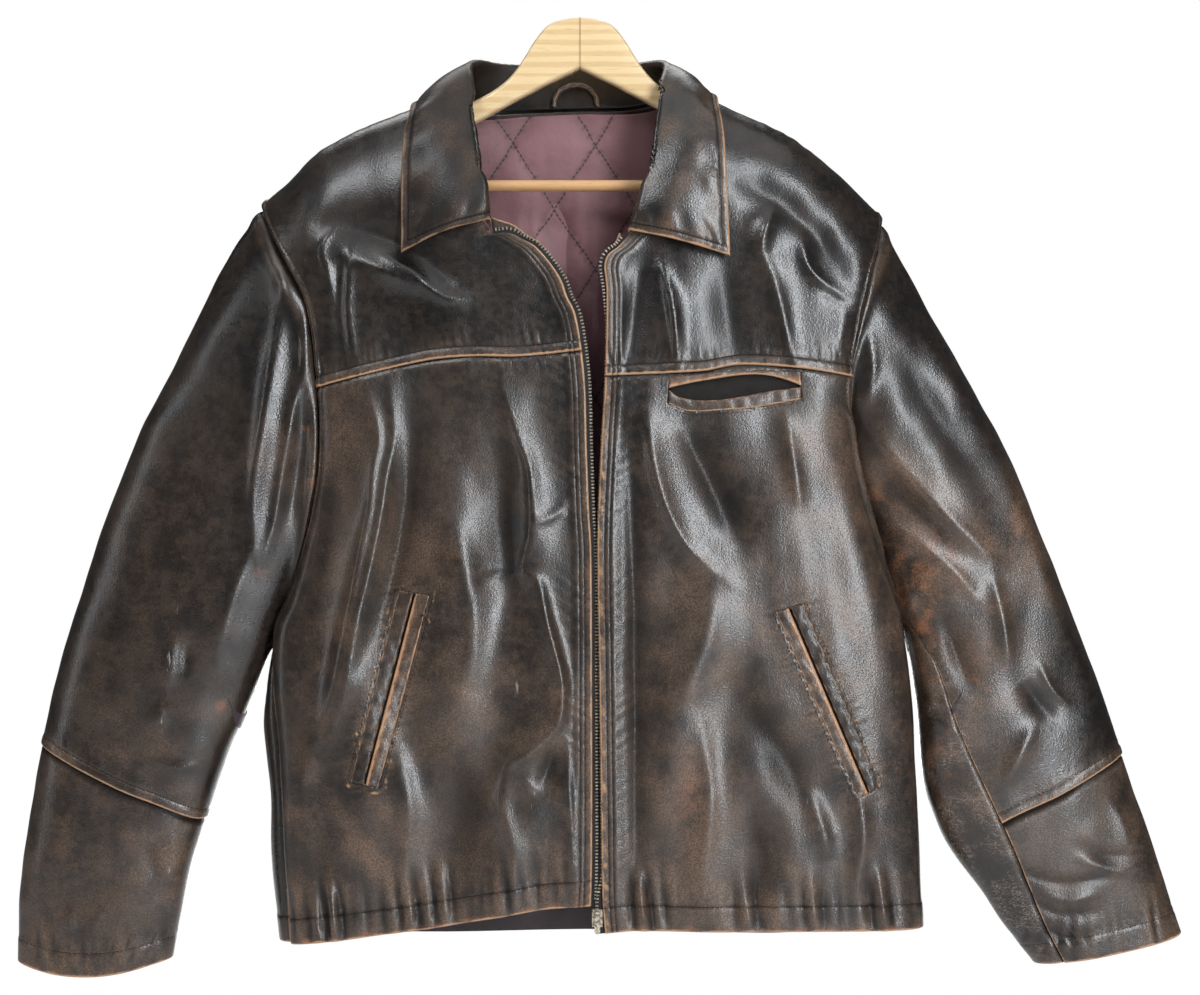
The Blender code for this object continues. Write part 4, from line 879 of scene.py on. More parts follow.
class Value:
    """A number that varies over a surface. Arithmetic on it adds the nodes that work it out."""

    def __init__(self, look, socket):
        self.look = look
        self.socket = socket

    def __add__(self, other):
        return self.look.maths("ADD", self, other)

    def __sub__(self, other):
        return self.look.maths("SUBTRACT", self, other)

    def __rsub__(self, other):
        return self.look.maths("SUBTRACT", other, self)

    def __mul__(self, other):
        return self.look.maths("MULTIPLY", self, other)

    def __abs__(self):
        return self.look.maths("ABSOLUTE", self)

    def limited(self):
        """The same number, kept from 0 to 1."""
        self.socket.node.use_clamp = True
        return self

    def ramp(self, low, high, start=0.0, end=1.0):
        inputs = {"Value": self, "From Min": low, "From Max": high, "To Min": start, "To Max": end}
        return self.look.value("ShaderNodeMapRange", inputs, interpolation_type="SMOOTHSTEP")


class Look:
    """The shader nodes of a material or of the world."""

    def __init__(self, owner):
        owner.use_nodes = True
        self.owner = owner
        self.tree = owner.node_tree
        self.tree.nodes.clear()
        self.where = self.add("ShaderNodeTexCoord").outputs["Object"]

    def add(self, kind, inputs=None, **settings):
        """Adds a node. Inputs are plain values, the outputs of other nodes or Values."""
        node = self.tree.nodes.new(kind)
        for key, value in settings.items():
            setattr(node, key, value)
        for key, value in (inputs or {}).items():
            value = getattr(value, "socket", value)
            if isinstance(value, bpy.types.NodeSocket):
                self.tree.links.new(value, node.inputs[key])
            else:
                node.inputs[key].default_value = value
        return node

    def value(self, kind, inputs=None, output=0, **settings):
        return Value(self, self.add(kind, inputs, **settings).outputs[output])

    def maths(self, operation, *values):
        return self.value("ShaderNodeMath", dict(enumerate(values)), operation=operation)

    def greatest(self, first, *others):
        for other in others:
            first = self.maths("MAXIMUM", first, other)
        return first

    def noise(self, size, detail=3.0, roughness=0.55, stretch=(1.0, 1.0, 1.0), turn=0.0):
        """Noise from 0 to 1 with features about size millimetres long, stretched by a turned mapping."""
        where = self.where
        if stretch != (1.0, 1.0, 1.0):
            inputs = {"Vector": where, "Rotation": (0, turn, 0), "Scale": stretch}
            where = self.add("ShaderNodeMapping", inputs).outputs[0]
        inputs = {"Vector": where, "Scale": 1 / (size * MM), "Detail": detail, "Roughness": roughness}
        return self.value("ShaderNodeTexNoise", inputs, "Fac")

    def weave(self, direction, scale, distortion, **more):
        inputs = {"Vector": self.where, "Scale": scale, "Distortion": distortion}
        inputs |= {key.replace("_", " "): value for key, value in more.items()}
        return self.value("ShaderNodeTexWave", inputs, "Fac", bands_direction=direction)

    def layer(self, name):
        return self.value("ShaderNodeAttribute", output="Fac", attribute_name=name)

    def parts(self):
        return self.add("ShaderNodeSeparateXYZ", {"Vector": self.where}).outputs

    def mixed(self, share, first, second):
        """The first colour, turned into the second by a share."""
        first, second = (tint if isinstance(tint, bpy.types.NodeSocket) else (*tint, 1)
                         for tint in (first, second))
        inputs = {MIX_SHARE: share, MIX_FIRST: first, MIX_SECOND: second}
        return self.add("ShaderNodeMix", inputs, data_type="RGBA").outputs[MIX_RESULT]

    def bumped(self, *heights):
        """Bump from (height, distance in mm) pairs, the coarsest first."""
        normal = {}
        for height, distance in heights:
            inputs = {"Height": height, "Distance": distance * MM, "Strength": 1.0, **normal}
            normal = {"Normal": self.add("ShaderNodeBump", inputs).outputs[0]}
        return normal["Normal"]

    def finished(self, colour, rough, normal, **more):
        """The material, its surface made of these and of more inputs, spelled with underscores."""
        inputs = {"Base Color": colour, "Roughness": rough, "Normal": normal}
        inputs |= {key.replace("_", " "): value for key, value in more.items()}
        shader = self.add("ShaderNodeBsdfPrincipled", inputs)
        self.add("ShaderNodeOutputMaterial", {"Surface": shader.outputs[0]})
        return self.owner


# Places of the colour sockets on a mix node
MIX_SHARE, MIX_FIRST, MIX_SECOND, MIX_RESULT = 0, 6, 7, 2

DARK = (0.0150, 0.0118, 0.0100)
# The darkest tone of the leather, also the colour of its painted shading.
SOOT_AND_SHADE = (0.0062, 0.0052, 0.0048)
UMBER = (0.040, 0.025, 0.0165)
BROWN_DYE = (0.150, 0.088, 0.053)
RAW_ORANGE = (0.33, 0.125, 0.048)
RAW_TAN = (0.42, 0.235, 0.125)
CHALK = (0.42, 0.37, 0.32)
QUILT_THREAD = (0.016, 0.009, 0.011)
SATIN_SHEEN = (0.90, 0.74, 0.80, 1)
GLUE_LINE = (0.16, 0.075, 0.03)


def start_look(name):
    return Look(bpy.data.materials.new(name))


def broken(value, fine, coarse, amount=0.5, edge=0.16):
    """A wear layer with its edge broken up by noise."""
    uneven = fine * 0.6 + coarse * 0.4
    shifted = (uneven - 0.5) * (amount * 2) + value
    return shifted.ramp(0.5 - edge, 0.5 + edge)


def make_leather(name, umber, gloss):
    """Old dyed leather: soot and umber, brown wear, raw orange scuffs, tan edges, pale scratches and painted
    shading.
    """
    look = start_look(name)
    large, middle = look.noise(110, 3), look.noise(26, 4)
    small, fine = look.noise(6, 4, 0.6), look.noise(1.6, 3, 0.6)
    streaks = look.noise(3.2, 5, 0.65, (1.0, 1.0, 0.16), 0.35)
    drawn = look.noise(4.5, 4, 0.6, (1.0, 1.0, 0.22))
    cracks = look.noise(7.0, 5, 0.6, (1.0, 1.0, 2.6), 0.55)
    grain = look.value("ShaderNodeTexVoronoi", {
        "Vector": look.where, "Scale": 1 / (1.2 * MM), "Randomness": 1.0}, "Distance", feature="SMOOTH_F1")
    # The layer of painted shading.
    shade = look.layer("shade")

    tone = large * 0.5 + middle * 0.5
    speckle = (grain + fine * 0.6).ramp(0.88, 0.42, 0.34, 1.12)
    brown = (look.layer("brown") * tone.ramp(0.38, 0.60, 0.40, 1.35)).limited()
    orange = broken(look.layer("orange") * 0.8, fine, small, 0.7, 0.32) * speckle.ramp(0.1, 0.9, 0.55, 1.0)
    rub = broken(look.layer("rub") * 0.95, fine, small, 0.42, 0.22)
    pale = broken(look.layer("pale") * 0.55, streaks, streaks, 1.0, 0.10)
    crack = abs(cracks - 0.5).ramp(0.013, 0.003) * look.layer("crack") * middle.ramp(0.40, 0.60, 0.0, 0.7)

    colour = look.mixed(tone.ramp(0.36, 0.66), SOOT_AND_SHADE, DARK)
    for share, tint in (
        ((middle + small).ramp(0.85, 1.25, 0.0, umber), UMBER), (brown * speckle, BROWN_DYE),
        (orange * 0.7, RAW_ORANGE), (rub * 0.92, RAW_TAN), (pale * 0.55, CHALK), (crack, CHALK),
        # painted shading: darker towards soot in hollows, seams and stitch grooves
        (shade * 0.85, SOOT_AND_SHADE),
    ):
        colour = look.mixed(share, colour, tint)

    worn = look.greatest(orange, pale, rub)
    rough = (small - 0.5) * 0.24 + (large - 0.5) * 0.20 + brown * 0.12 + worn * 0.22 + shade * 0.25 + gloss
    # painted shading also takes the gloss off
    polish = (shade * -0.85 + 1.0).limited()
    normal = look.bumped((middle, 0.12), (drawn, 0.08), (small, 0.05), (grain, 0.13), (fine, 0.06))
    return look.finished(colour, rough.limited(), normal, Specular_IOR_Level=polish * 0.5,
                         Coat_Weight=polish * 0.38, Coat_Roughness=0.17, Coat_Normal=normal)


def quilting_thread(look, wobble):
    """Mask of the thread lines that cross in diamonds, dashed like stitches."""
    split = look.parts()
    x = Value(look, split["X"]) - QUILT_CROSSING[0] * MM
    z = Value(look, split["Z"]) - QUILT_CROSSING[1] * MM
    masks = []
    for slope in (math.radians(QUILT_SLOPE), -math.radians(QUILT_SLOPE)):
        off = (wobble - 0.5) * 0.006 + (x * math.sin(slope) - z * math.cos(slope))
        away = look.maths("PINGPONG", off, QUILT_SPACING * MM)
        near = look.maths("MINIMUM", away, QUILT_SPACING * MM - away)
        dash = look.maths("PINGPONG", x * math.cos(slope) + z * math.sin(slope), 0.0021)
        masks.append(near.ramp(0.0010, 0.0004) * dash.ramp(0.0003, 0.0008))
    return look.greatest(*masks) * 0.85


def make_lining(name, dark, light, quilted=False):
    """Dusty satin: a fine weave, faded, with painted shading in its folds and along its quilting lines."""
    look = start_look(name)
    large, small = look.noise(90, 3), look.noise(7, 4)
    weave = look.weave("X", 420.0, 1.5, Detail=1.0, Detail_Scale=2.0) * look.weave(
        "Z", 420.0, 1.5, Detail=1.0, Detail_Scale=2.0)
    colour = look.mixed(large.ramp(0.30, 0.70), dark, light)
    colour = look.mixed(small.ramp(0.50, 0.75, 0.0, 0.35), colour, light)
    if quilted:
        colour = look.mixed(quilting_thread(look, look.noise(30, 2)), colour, QUILT_THREAD)
    # painted shading darkens the folds and the quilting grooves
    colour = look.mixed(look.layer("shade") * 0.75, colour, tuple(0.25 * channel for channel in dark))
    normal = look.bumped((look.noise(18, 3), 1.2), (small, 0.35), (weave, 0.06))
    return look.finished(colour, small * 0.2 + 0.42, normal, Specular_IOR_Level=0.4,
                         Sheen_Weight=0.35, Sheen_Roughness=0.45, Sheen_Tint=SATIN_SHEEN)


def make_woven(name, low, high, size=0.9):
    """Woven tape or pocket cloth with a fine twill."""
    look = start_look(name)
    twill, dirt = look.weave("DIAGONAL", 1 / (size * 2.2 * MM), 0.8, Detail=2.0), look.noise(12, 4)
    colour = look.mixed(twill.ramp(0.2, 0.8), low, high)
    colour = look.mixed(dirt.ramp(0.5, 0.75, 0.0, 0.5), colour, low)
    return look.finished(colour, dirt.ramp(0.3, 0.8, 0.75, 0.92), look.bumped((dirt, 0.4), (twill, 0.12)),
                         Specular_IOR_Level=0.3, Sheen_Weight=0.2, Sheen_Roughness=0.5)


def make_metal(name, bright, dull):
    """Cast zip metal: worn bright in some patches, dull and dirty in others."""
    look = start_look(name)
    small, fine = look.noise(2.5, 4), look.noise(0.5, 2)
    colour = look.mixed(small.ramp(0.40, 0.62), bright, dull)
    return look.finished(colour, small.ramp(0.3, 0.7, 0.26, 0.50), look.bumped((small, 0.06), (fine, 0.03)),
                         Metallic=0.85)


def make_thread(name, low, high):
    """Waxed thread, soiled in places, with its twist."""
    look = start_look(name)
    dirt, twist = look.noise(14, 3), look.noise(0.5, 1)
    colour = look.mixed(dirt.ramp(0.38, 0.62), low, high)
    return look.finished(colour, dirt.ramp(0.3, 0.7, 0.70, 0.85), look.bumped((twist, 0.08)),
                         Specular_IOR_Level=0.25)


def make_wood(name, light, dark, joined=False):
    """Varnished wood: growth rings drawn out along X, pores, darker streaks and, if joined, a glue line."""
    look = start_look(name)
    drawn = look.add("ShaderNodeMapping", {"Vector": look.where, "Scale": (0.06, 1.0, 1.0)}).outputs[0]
    warp = look.noise(30, 3, stretch=(0.06, 1.0, 1.0))
    pores = look.noise(0.9, 4, 0.7, (0.05, 1.0, 1.0))
    rings = look.value("ShaderNodeTexWave", {
        "Vector": drawn, "Scale": 34.0, "Distortion": 5.0, "Detail": 3.0, "Detail Scale": 1.4,
        "Detail Roughness": 0.6}, "Fac", wave_type="BANDS", bands_direction="Z")
    colour = look.mixed(rings.ramp(0.30, 0.90, 0.0, 0.55), light, dark)
    colour = look.mixed(warp.ramp(0.50, 0.75, 0.0, 0.45), colour, dark)
    darker = tuple(0.45 * channel for channel in dark)
    colour = look.mixed(pores.ramp(0.56, 0.72, 0.0, 0.45), colour, darker)
    if joined:
        across = Value(look, look.parts()["X"])
        colour = look.mixed(abs(across).ramp(0.0012, 0.0002) * 0.6, colour, GLUE_LINE)
    return look.finished(colour, pores.ramp(0.3, 0.8, 0.26, 0.48), look.bumped((rings, 0.05), (pores, 0.08)),
                         Coat_Weight=0.35, Coat_Roughness=0.18)


LOOKS = {
    name: make(name, *tints) for make, name, *tints in (
        (make_leather, "dark_leather", 0.35, 0.31),
        (make_leather, "worn_leather", 0.65, 0.34),
        (make_lining, "quilted_lining", (0.100, 0.040, 0.046), (0.235, 0.112, 0.122), True),
        (make_lining, "plain_lining", (0.020, 0.013, 0.014), (0.048, 0.032, 0.036)),
        (make_woven, "zip_tape", (0.008, 0.007, 0.007), (0.028, 0.024, 0.022)),
        # near-black pocket cloth: painted shading inside the pocket openings
        (make_woven, "pocket_cloth", (0.005, 0.004, 0.0035), (0.014, 0.011, 0.009)),
        (make_metal, "zip_metal", (0.66, 0.60, 0.48), (0.20, 0.165, 0.12)),
        (make_wood, "board_wood", (0.74, 0.55, 0.30), (0.58, 0.37, 0.17), True),
        (make_wood, "bar_wood", (0.64, 0.37, 0.17), (0.46, 0.23, 0.09)),
        (make_thread, "dark_thread", (0.006, 0.005, 0.0045), (0.022, 0.015, 0.011)),
        (make_leather, "loop_leather", 0.9, 0.45),
    )
}


# ---------------------------------------------------------------- fronts

LAP = 3.0                 # how far the lower front runs under the yoke
SEAM_GAP = 0.4            # how far the yoke's own edge lies below the seam
ZIP_ROWS = (6.0, 10.0)    # stitch rows along the zip, from the edge
STRIP_ROW = 7.5           # stitch row along the armhole
HEM_ROW = 21.0
YOKE_ROW = 8.5
ARMPIT = (-520, -495)     # heights between which the strip along the armhole ends
ARM_STITCHES_END = -500
FRONT_STEP = 2.5
NEAR_ZIP = (0, 0.4, 1, 1.8, 3.4, 5.1, 6, 6.9, 8, 9.1, 10, 10.9, 12.4, 14, 16)
NEAR_ARM = (0, 0.4, 1, 1.8, 3.4, 5.2, 6.6, 7.5, 8.4, 10.2)
NEAR_HEM = (0, 0.4, 1, 1.8, 3.4, 6, 9, 12, 15, 18, 20.1, 21, 21.9, 24)
NEAR_LAP = (0, 1, 2, 3, 4, 5.2, 6.6, 8.4)
NEAR_YOKE = (0, 0.4, 1, 1.8, 3.4, 5.6, 7.6, 8.5, 9.4, 11.4)


def coons(low, high, inner, outer):
    """Flat surface between four lines, over (share across, share up)."""
    def surface(u, v):
        uu, vv = u[..., None], v[..., None]
        return (
            (1 - vv) * at_shares(low, u) + vv * at_shares(high, u)
            + (1 - uu) * at_shares(inner, v) + uu * at_shares(outer, v)
            - (1 - uu) * (1 - vv) * low[0] - uu * (1 - vv) * low[-1]
            - (1 - uu) * vv * high[0] - uu * vv * high[-1]
        )
    return surface


def strip_between(low, high):
    return coons(low, high, np.stack([low[0], high[0]]), np.stack([low[-1], high[-1]]))


def evenly(line, count=200):
    return at_shares(line, np.linspace(0, 1, count))


def front_grid(side, flat, across, up, deeper=0.0):
    """Even grid on the face of a front, over a flat surface."""
    return evened(lambda u, v: on_front(side, flat(u, v), deeper), across, up)[0]


def front_edges(side):
    """Lines round a lower front and round a yoke: low, high, inner, outer."""
    sides = np.array(ARM_AND_SIDE[side], float)[::-1, :2]
    zip_up, neck_up = ZIP_EDGE[side][::-1], NECK[side][::-1]
    seam = np.array(YOKE[side], float)
    low, high = evenly(smooth_line(HEM[side])), evenly(smooth_line(seam + [0, LAP]))
    lower = (low, high, stretch(zip_up, low[0], high[0]), stretch(sides, low[-1], high[-1]))
    low, high = evenly(smooth_line(seam - [0, SEAM_GAP])), evenly(smooth_line(SHOULDER[side]))
    corner, top = np.array(neck_up, float)[[0, -1]]
    inner = np.vstack([stretch(zip_up, low[0], corner), stretch(neck_up, corner, top)[1:]])
    return lower, (low, high, inner, stretch(sides, low[-1], high[-1]))


def zip_relief(from_zip, z, share=1.0):
    """Cut edge along the zip and, where share is 1, its fold and its rows of stitches."""
    relief = 0.8 * smoothstep(16, 12, from_zip)
    for row, seed in zip(ZIP_ROWS, (41, 42)):
        relief = relief + stitched(from_zip, row, z, seed, 0.45, 0.30, 7)
    return rounded(from_zip) + share * relief


def zip_threads(from_zip):
    """Where the rows of stitches along the zip lie, for painted shading in their grooves."""
    return strongest(*(bell(from_zip - row, 1.0) for row in ZIP_ROWS))


def hem_relief(distance, row, run, seed, gather, reach):
    """Turned-up hem or cuff, thicker up to its row of stitches."""
    turned_up = 0.6 * smoothstep(row + 3, row - 1, distance)
    return rounded(distance) + turned_up + stitched(distance, row, run, seed, 0.5, gather, reach)


def armhole_relief(from_arm, z, seed):
    """Strip along the armhole, raised between its edge and its row of stitches, with slanting gathers."""
    strip = 1.3 * smoothstep(STRIP_ROW + 1.6, STRIP_ROW - 1.2, from_arm)
    slanting = puckers(z + 0.8 * from_arm, seed, 4.2)
    fine = 0.8 * slanting * smoothstep(0.5, 2.5, from_arm) * bell(from_arm - 4, 4.5)
    return rounded(from_arm) + strip + fine + stitched(from_arm, STRIP_ROW, z, seed + 1, 0.6, 0.5, 11)


def off_outline(corners, x, z):
    """Distance of each point from a closed outline of (across, height) corners."""
    corners = np.array(corners, float)
    gap = np.full(np.shape(x), np.inf)
    for start, end in zip(corners, np.roll(corners, -1, 0)):
        step = end - start
        t = np.clip(((x - start[0]) * step[0] + (z - start[1]) * step[1]) / np.dot(step, step), 0, 1)
        gap = np.minimum(gap, np.hypot(x - start[0] - t * step[0], z - start[1] - t * step[1]))
    return gap


def lower_front_relief(side, x, z, from_zip, from_arm, from_hem, from_lap, from_pocket, at_arm):
    right = side == "right"
    relief = undulation(x, z, 21 if right else 31) + zip_relief(from_zip, z)
    relief += 0.55 * puckers(z - 0.7 * from_zip, 43, 9) * bell(from_zip - 16, 12)
    relief += 0.9 * puckers(z + 0.9 * from_zip, 55, 8) * bell(from_zip - 4, 3.4)
    relief += hem_relief(from_hem, HEM_ROW, x, 44, 0.8, 13)
    relief += 0.9 * puckers(z - 0.3 * x, 60, 7, 0.35) * bell(from_pocket - 7, 6)
    gathers = waves(19, 53 if right else 54, x + 0.12 * z) * (0.5 + 0.8 * waves(60, 56, x))
    held_in = (bell(from_hem - 25, 22) + 0.5 * bell(from_hem - 12, 9)) * smoothstep(12, 30, from_zip)
    relief += 2.1 * 1.35 * gathers * held_in
    relief += armhole_relief(from_arm, z, 45) * at_arm
    relief += 0.7 * puckers(x, 46, 5) * bell(from_lap - 5, 9) - 1.7 * smoothstep(8, 2.5, from_lap)
    if not right:
        relief += 4.5 * bell(from_arm - 9, 6) * smoothstep(-470, -440, z) * smoothstep(-325, -350, z)
    return relief


def lower_front_wear(side, relief, x, z, from_zip, from_arm, from_hem, from_lap, from_pocket, at_arm):
    right = side == "right"
    rub = strongest(
        bell(from_zip, 1.7) * (0.80 + 0.3 * waves(30, 48 if right else 57, z)),
        bell(from_hem, 2.0) * (0.75 + 0.35 * waves(40, 47, x)),
        bell(from_arm, 1.6) * 0.85 * at_arm,
        (0.2 if right else 0.5) * bell(from_zip - 3, 3.5) * (0.6 + 0.5 * waves(18, 49, z + from_zip)),
        0.5 * bell(from_pocket - 6, 2.6) * (0.5 + 0.6 * waves(9, 58, x, z)),
    )
    brown = strongest(
        patches(x, z, BROWN[side]) * (0.75 + 0.35 * waves(45, 50, x, z)),
        0.9 * bell(from_pocket - 5, 5) * (0.6 + 0.4 * waves(14, 59, x, z)),
        bell(from_hem, 26) * (0.45 + 0.3 * waves(30, 51, x)),
        0.8 * bell(from_zip, 9),
    )
    orange = strongest(patches(x, z, ORANGE[side]), bell(from_hem, 5.5) * (0.55 + 0.4 * waves(26, 52, x)))
    # Painted shading: beside the yoke's lapped edge, along the armhole edge, in fold troughs and in the
    # stitch grooves along the zip and hem.
    shade = strongest(
        smoothstep(5.5, 2.6, from_lap), 0.5 * bell(from_arm, 0.6), hollows(x, z, FRONT_FOLDS[side]),
        0.55 * zip_threads(from_zip), 0.6 * bell(from_hem - HEM_ROW, 1.1),
    )
    return wear(relief, rub, brown, orange, patches(x, z, PALE[side]), shade)


def build_lower_front(side):
    """Lower front with its pocket openings. Gives its face's points."""
    lower, _ = front_edges(side)
    across = ticks(run_of(lower[0])[-1], FRONT_STEP, NEAR_ZIP, NEAR_ARM)
    up = ticks(run_of(lower[2])[-1], FRONT_STEP, NEAR_HEM, NEAR_LAP)
    base = front_grid(side, coons(*lower), across, up)
    x, z = base[..., 0], base[..., 2]
    gaps = (across[None], (across[-1] - across)[None], up[:, None], (up[-1] - up)[:, None],
            off_outline(HAND_POCKET[side], x, z), smoothstep(*ARMPIT, z))
    relief = lower_front_relief(side, x, z, *gaps)
    face = leather_piece(
        f"front_{side}_lower", "worn_leather", base, relief, ("worn_leather", "plain_lining"),
        lower_front_wear(side, relief, x, z, *gaps), (285, 480),
        keep=window_kept(side, base))
    for row in ZIP_ROWS:
        stitch_row(*face[:, 6:-4, nearest(across, row)])
    stitch_row(*face[:, nearest(up, HEM_ROW), 12:-8])
    column = nearest(across, across[-1] - STRIP_ROW)
    stitch_row(*face[:, np.flatnonzero(face[0, :, column, 2] > ARM_STITCHES_END)[:-3], column])
    return face[0]


def build_yoke(side):
    _, yoke = front_edges(side)
    across = ticks(run_of(yoke[0])[-1], FRONT_STEP, NEAR_ZIP, NEAR_ARM)
    length = 0.5 * (run_of(yoke[2])[-1] + run_of(yoke[3])[-1]) + 45
    up = ticks(length, FRONT_STEP, NEAR_YOKE, (0, 0.5, 1.2, 2.4, 4.2))
    base = front_grid(side, coons(*yoke), across, up)
    x, z = base[..., 0], base[..., 2]
    from_zip, from_arm = across[None], (across[-1] - across)[None]
    from_seam, from_top = up[:, None], (up[-1] - up)[:, None]
    at_zip = smoothstep(-185, -200, z)

    relief = undulation(x, z, 61 if side == "right" else 71) + zip_relief(from_zip, z, at_zip)
    relief += rounded(from_seam, 1.7) + rounded(from_top) + smoothstep(13, 3, from_seam)
    relief += stitched(from_seam, YOKE_ROW, x, 46, 0.7, 1.0, 9)
    above_seam = smoothstep(8, 11, from_seam) * bell(from_seam - 10, 13)
    relief += 1.3 * puckers(x + 0.2 * from_seam, 68, 7, 0.35) * above_seam
    relief += armhole_relief(from_arm, z, 45)
    relief += 0.5 * puckers(x, 63, 12) * bell(from_top, 14)

    tip_x, _, tip_z = base[-1, -1]
    tip = np.exp(-((x - tip_x) / 12) ** 2 - ((z - tip_z) / 9) ** 2)
    rub = strongest(
        bell(from_zip, 1.7) * at_zip,
        bell(from_seam, 2.0) * (0.98 + 0.12 * waves(25, 64, x)),
        bell(from_arm, 1.6) * (0.85 + 0.2 * waves(20, 65, z)),
        bell(from_top, 1.6) * 0.8,
        tip * (0.35 if side == "right" else 0.2),
    )
    brown = strongest(
        0.55 * bell(from_seam - 4, 7) * (0.7 + 0.4 * waves(25, 66, x)),
        0.7 * bell(from_zip, 8),
        patches(x, z, BROWN[side]) * 0.3,
        0.4 * bell(from_arm - 3, 5) * (0.6 + 0.5 * waves(16, 67, z)),
    )
    # Painted shading in the yoke's stitch groove, its fold troughs and the stitch grooves along the zip.
    shade = strongest(0.6 * bell(from_seam - YOKE_ROW, 1.2), 0.6 * hollows(x, z, FRONT_FOLDS[side]),
                      0.5 * zip_threads(from_zip) * at_zip)
    layers = wear(relief, rub, brown, 0.35 * bell(from_seam, 3.5), patches(x, z, PALE[side]), shade)
    face = leather_piece(
        f"front_{side}_yoke", "dark_leather", base, relief, ("dark_leather", "plain_lining"), layers,
        (235, 245), area=0.045)
    stitch_row(*face[:, nearest(up, YOKE_ROW), 5:-8])
    for row in ZIP_ROWS:
        column = nearest(across, row)
        stitch_row(*face[:, np.flatnonzero(face[0, :, column, 2] < -200)[4:], column])
    stitch_row(*face[:, 3:-4, nearest(across, across[-1] - STRIP_ROW)])


# ---------------------------------------------------------------- pockets

WELT_ENDS = (0, 0.4, 1.0, 1.8)
WELT_SIDES = (0, 0.3, 0.8, 1.5)
POCKET_PAST = 1.5         # how far the welts run past the opening, at its ends and at its sides
SLIT = 0.9                # half the gap between the lips of a hand pocket
FACING_DEEPER = 3.4
FACING_MARGIN = 8.0
FACING_THICK = 1.0
# Lips of the chest pocket: across, height
CHEST_UPPER_LIP = [(73, -313.5), (90, -309.5), (110, -306), (130, -303), (148, -302.5), (165, -305.5),
                   (181.5, -311.5)]
CHEST_LOWER_LIP = [(73, -315), (84, -321.5), (105, -323.5), (129, -321), (155, -316), (181.5, -312.5)]


def inside(polygon, x, z):
    """Whether points lie in a polygon."""
    polygon = np.array(polygon, float)
    found = np.zeros(np.shape(x), bool)
    for (x0, z0), (x1, z1) in zip(polygon, np.roll(polygon, -1, 0)):
        crosses = (z0 > z) != (z1 > z)
        with np.errstate(divide="ignore", invalid="ignore"):
            found ^= crosses & (x < (x1 - x0) * (z - z0) / (z1 - z0) + x0)
    return found


def window_kept(side, base):
    """Cells of a lower front that its pocket openings leave."""
    windows = [HAND_POCKET[side]]
    if side == "left":
        top, low = (evenly(smooth_line(line), 24) for line in (CHEST_POCKET_TOP, CHEST_POCKET_LOW))
        windows.append(np.vstack([top, low[::-1]]))
    middle = (base[:-1, :-1] + base[1:, 1:]) / 2
    return ~np.any([inside(window, middle[..., 0], middle[..., 2]) for window in windows], axis=0)


def stitch_on_front(flat, face):
    """A row of stitches through (across, height) points, at the depth of a finished front."""
    points = face.reshape(-1, 3)
    depth = np.empty(len(flat))
    for i, (x, z) in enumerate(flat):
        away = (points[:, 0] - x) ** 2 + (points[:, 2] - z) ** 2
        near = np.argpartition(away, 6)[:6]
        weight = 1 / (away[near] + 0.3)
        depth[i] = (points[near, 1] * weight).sum() / weight.sum()
    surface = np.stack([flat[:, 0], depth, flat[:, 1]], 1)
    stitch_row(surface, np.broadcast_to(FRONTWARD, surface.shape))


def build_welt(node, first, second, side, look, raised, layers_of, seed, flat_size):
    """Welt between two lines of (across, height): rolled over its long edges, like a thin pillow."""
    long = ticks(run_of(first)[-1], 2.2, WELT_ENDS, WELT_ENDS)
    wide = float(np.mean(np.linalg.norm(second - first, axis=1)))
    across = ticks(wide, 1.1, WELT_SIDES, WELT_SIDES)
    base = front_grid(side, strip_between(first, second), long, across)
    along_it, from_first = long[None], across[:, None]
    from_second, from_end = across[-1] - from_first, np.minimum(long, long[-1] - long)[None]
    relief = raised + rounded(from_first, 1.6) + rounded(from_second, 1.6) + rounded(from_end, 1.4)
    relief = relief + 0.35 * waves(12, seed, along_it, from_first)
    relief = relief + 0.25 * bell(from_first - wide / 2, wide / 3)
    relief = relief + stitched(from_first, 2.6, along_it, seed + 1, 0.2, 0.2, 4)
    layers = layers_of(relief, along_it, from_first, from_second)
    leather_piece(node, "dark_leather", base, relief, (look,), layers, flat_size,
                  thickness=WELT_THICK)


def build_pocket_facing(node, side, first, second):
    """Strip of pocket cloth behind an opening, slightly loose; its near-black colour is painted shading
    inside the opening.
    """
    first, second = evenly(first, 40), evenly(second, 40)
    margin = unit(second.mean(0) - first.mean(0)) * FACING_MARGIN
    first, second = first - margin, second + margin
    long, wide = ticks(run_of(first)[-1], 3), ticks(float(np.linalg.norm(second[20] - first[20])), 3)
    base = front_grid(side, strip_between(first, second), long, wide, FACING_DEEPER)
    relief = 0.4 * waves(25, 131, base[..., 0], base[..., 2])
    leather_piece(node, "pocket_cloth", base, relief, ("pocket_cloth",), {}, (run_of(first)[-1], wide[-1]),
                  thickness=FACING_THICK)


def front_welt_wear(relief, along_it, from_edge, from_lip):
    rub = strongest(bell(from_lip, 2.6), 0.8 * bell(from_edge, 1.2))
    rub = rub * (0.95 + 0.3 * waves(18, 91, along_it))
    orange = bell(from_lip, 4.2) * (0.95 + 0.3 * waves(24, 92, along_it))
    return wear(relief, rub, 0.7 + 0.3 * waves(20, 93, along_it), orange, 0.25, 0.0)


def side_welt_wear(relief, along_it, from_edge, from_lip):
    rub = strongest(0.75 * bell(from_edge, 1.2), 0.5 * bell(from_lip, 1.4))
    rub = rub * (0.9 + 0.35 * waves(16, 94, along_it))
    return wear(relief, rub, 0.25 + 0.3 * waves(20, 95, along_it), 0.15, 0.1, 0.2)


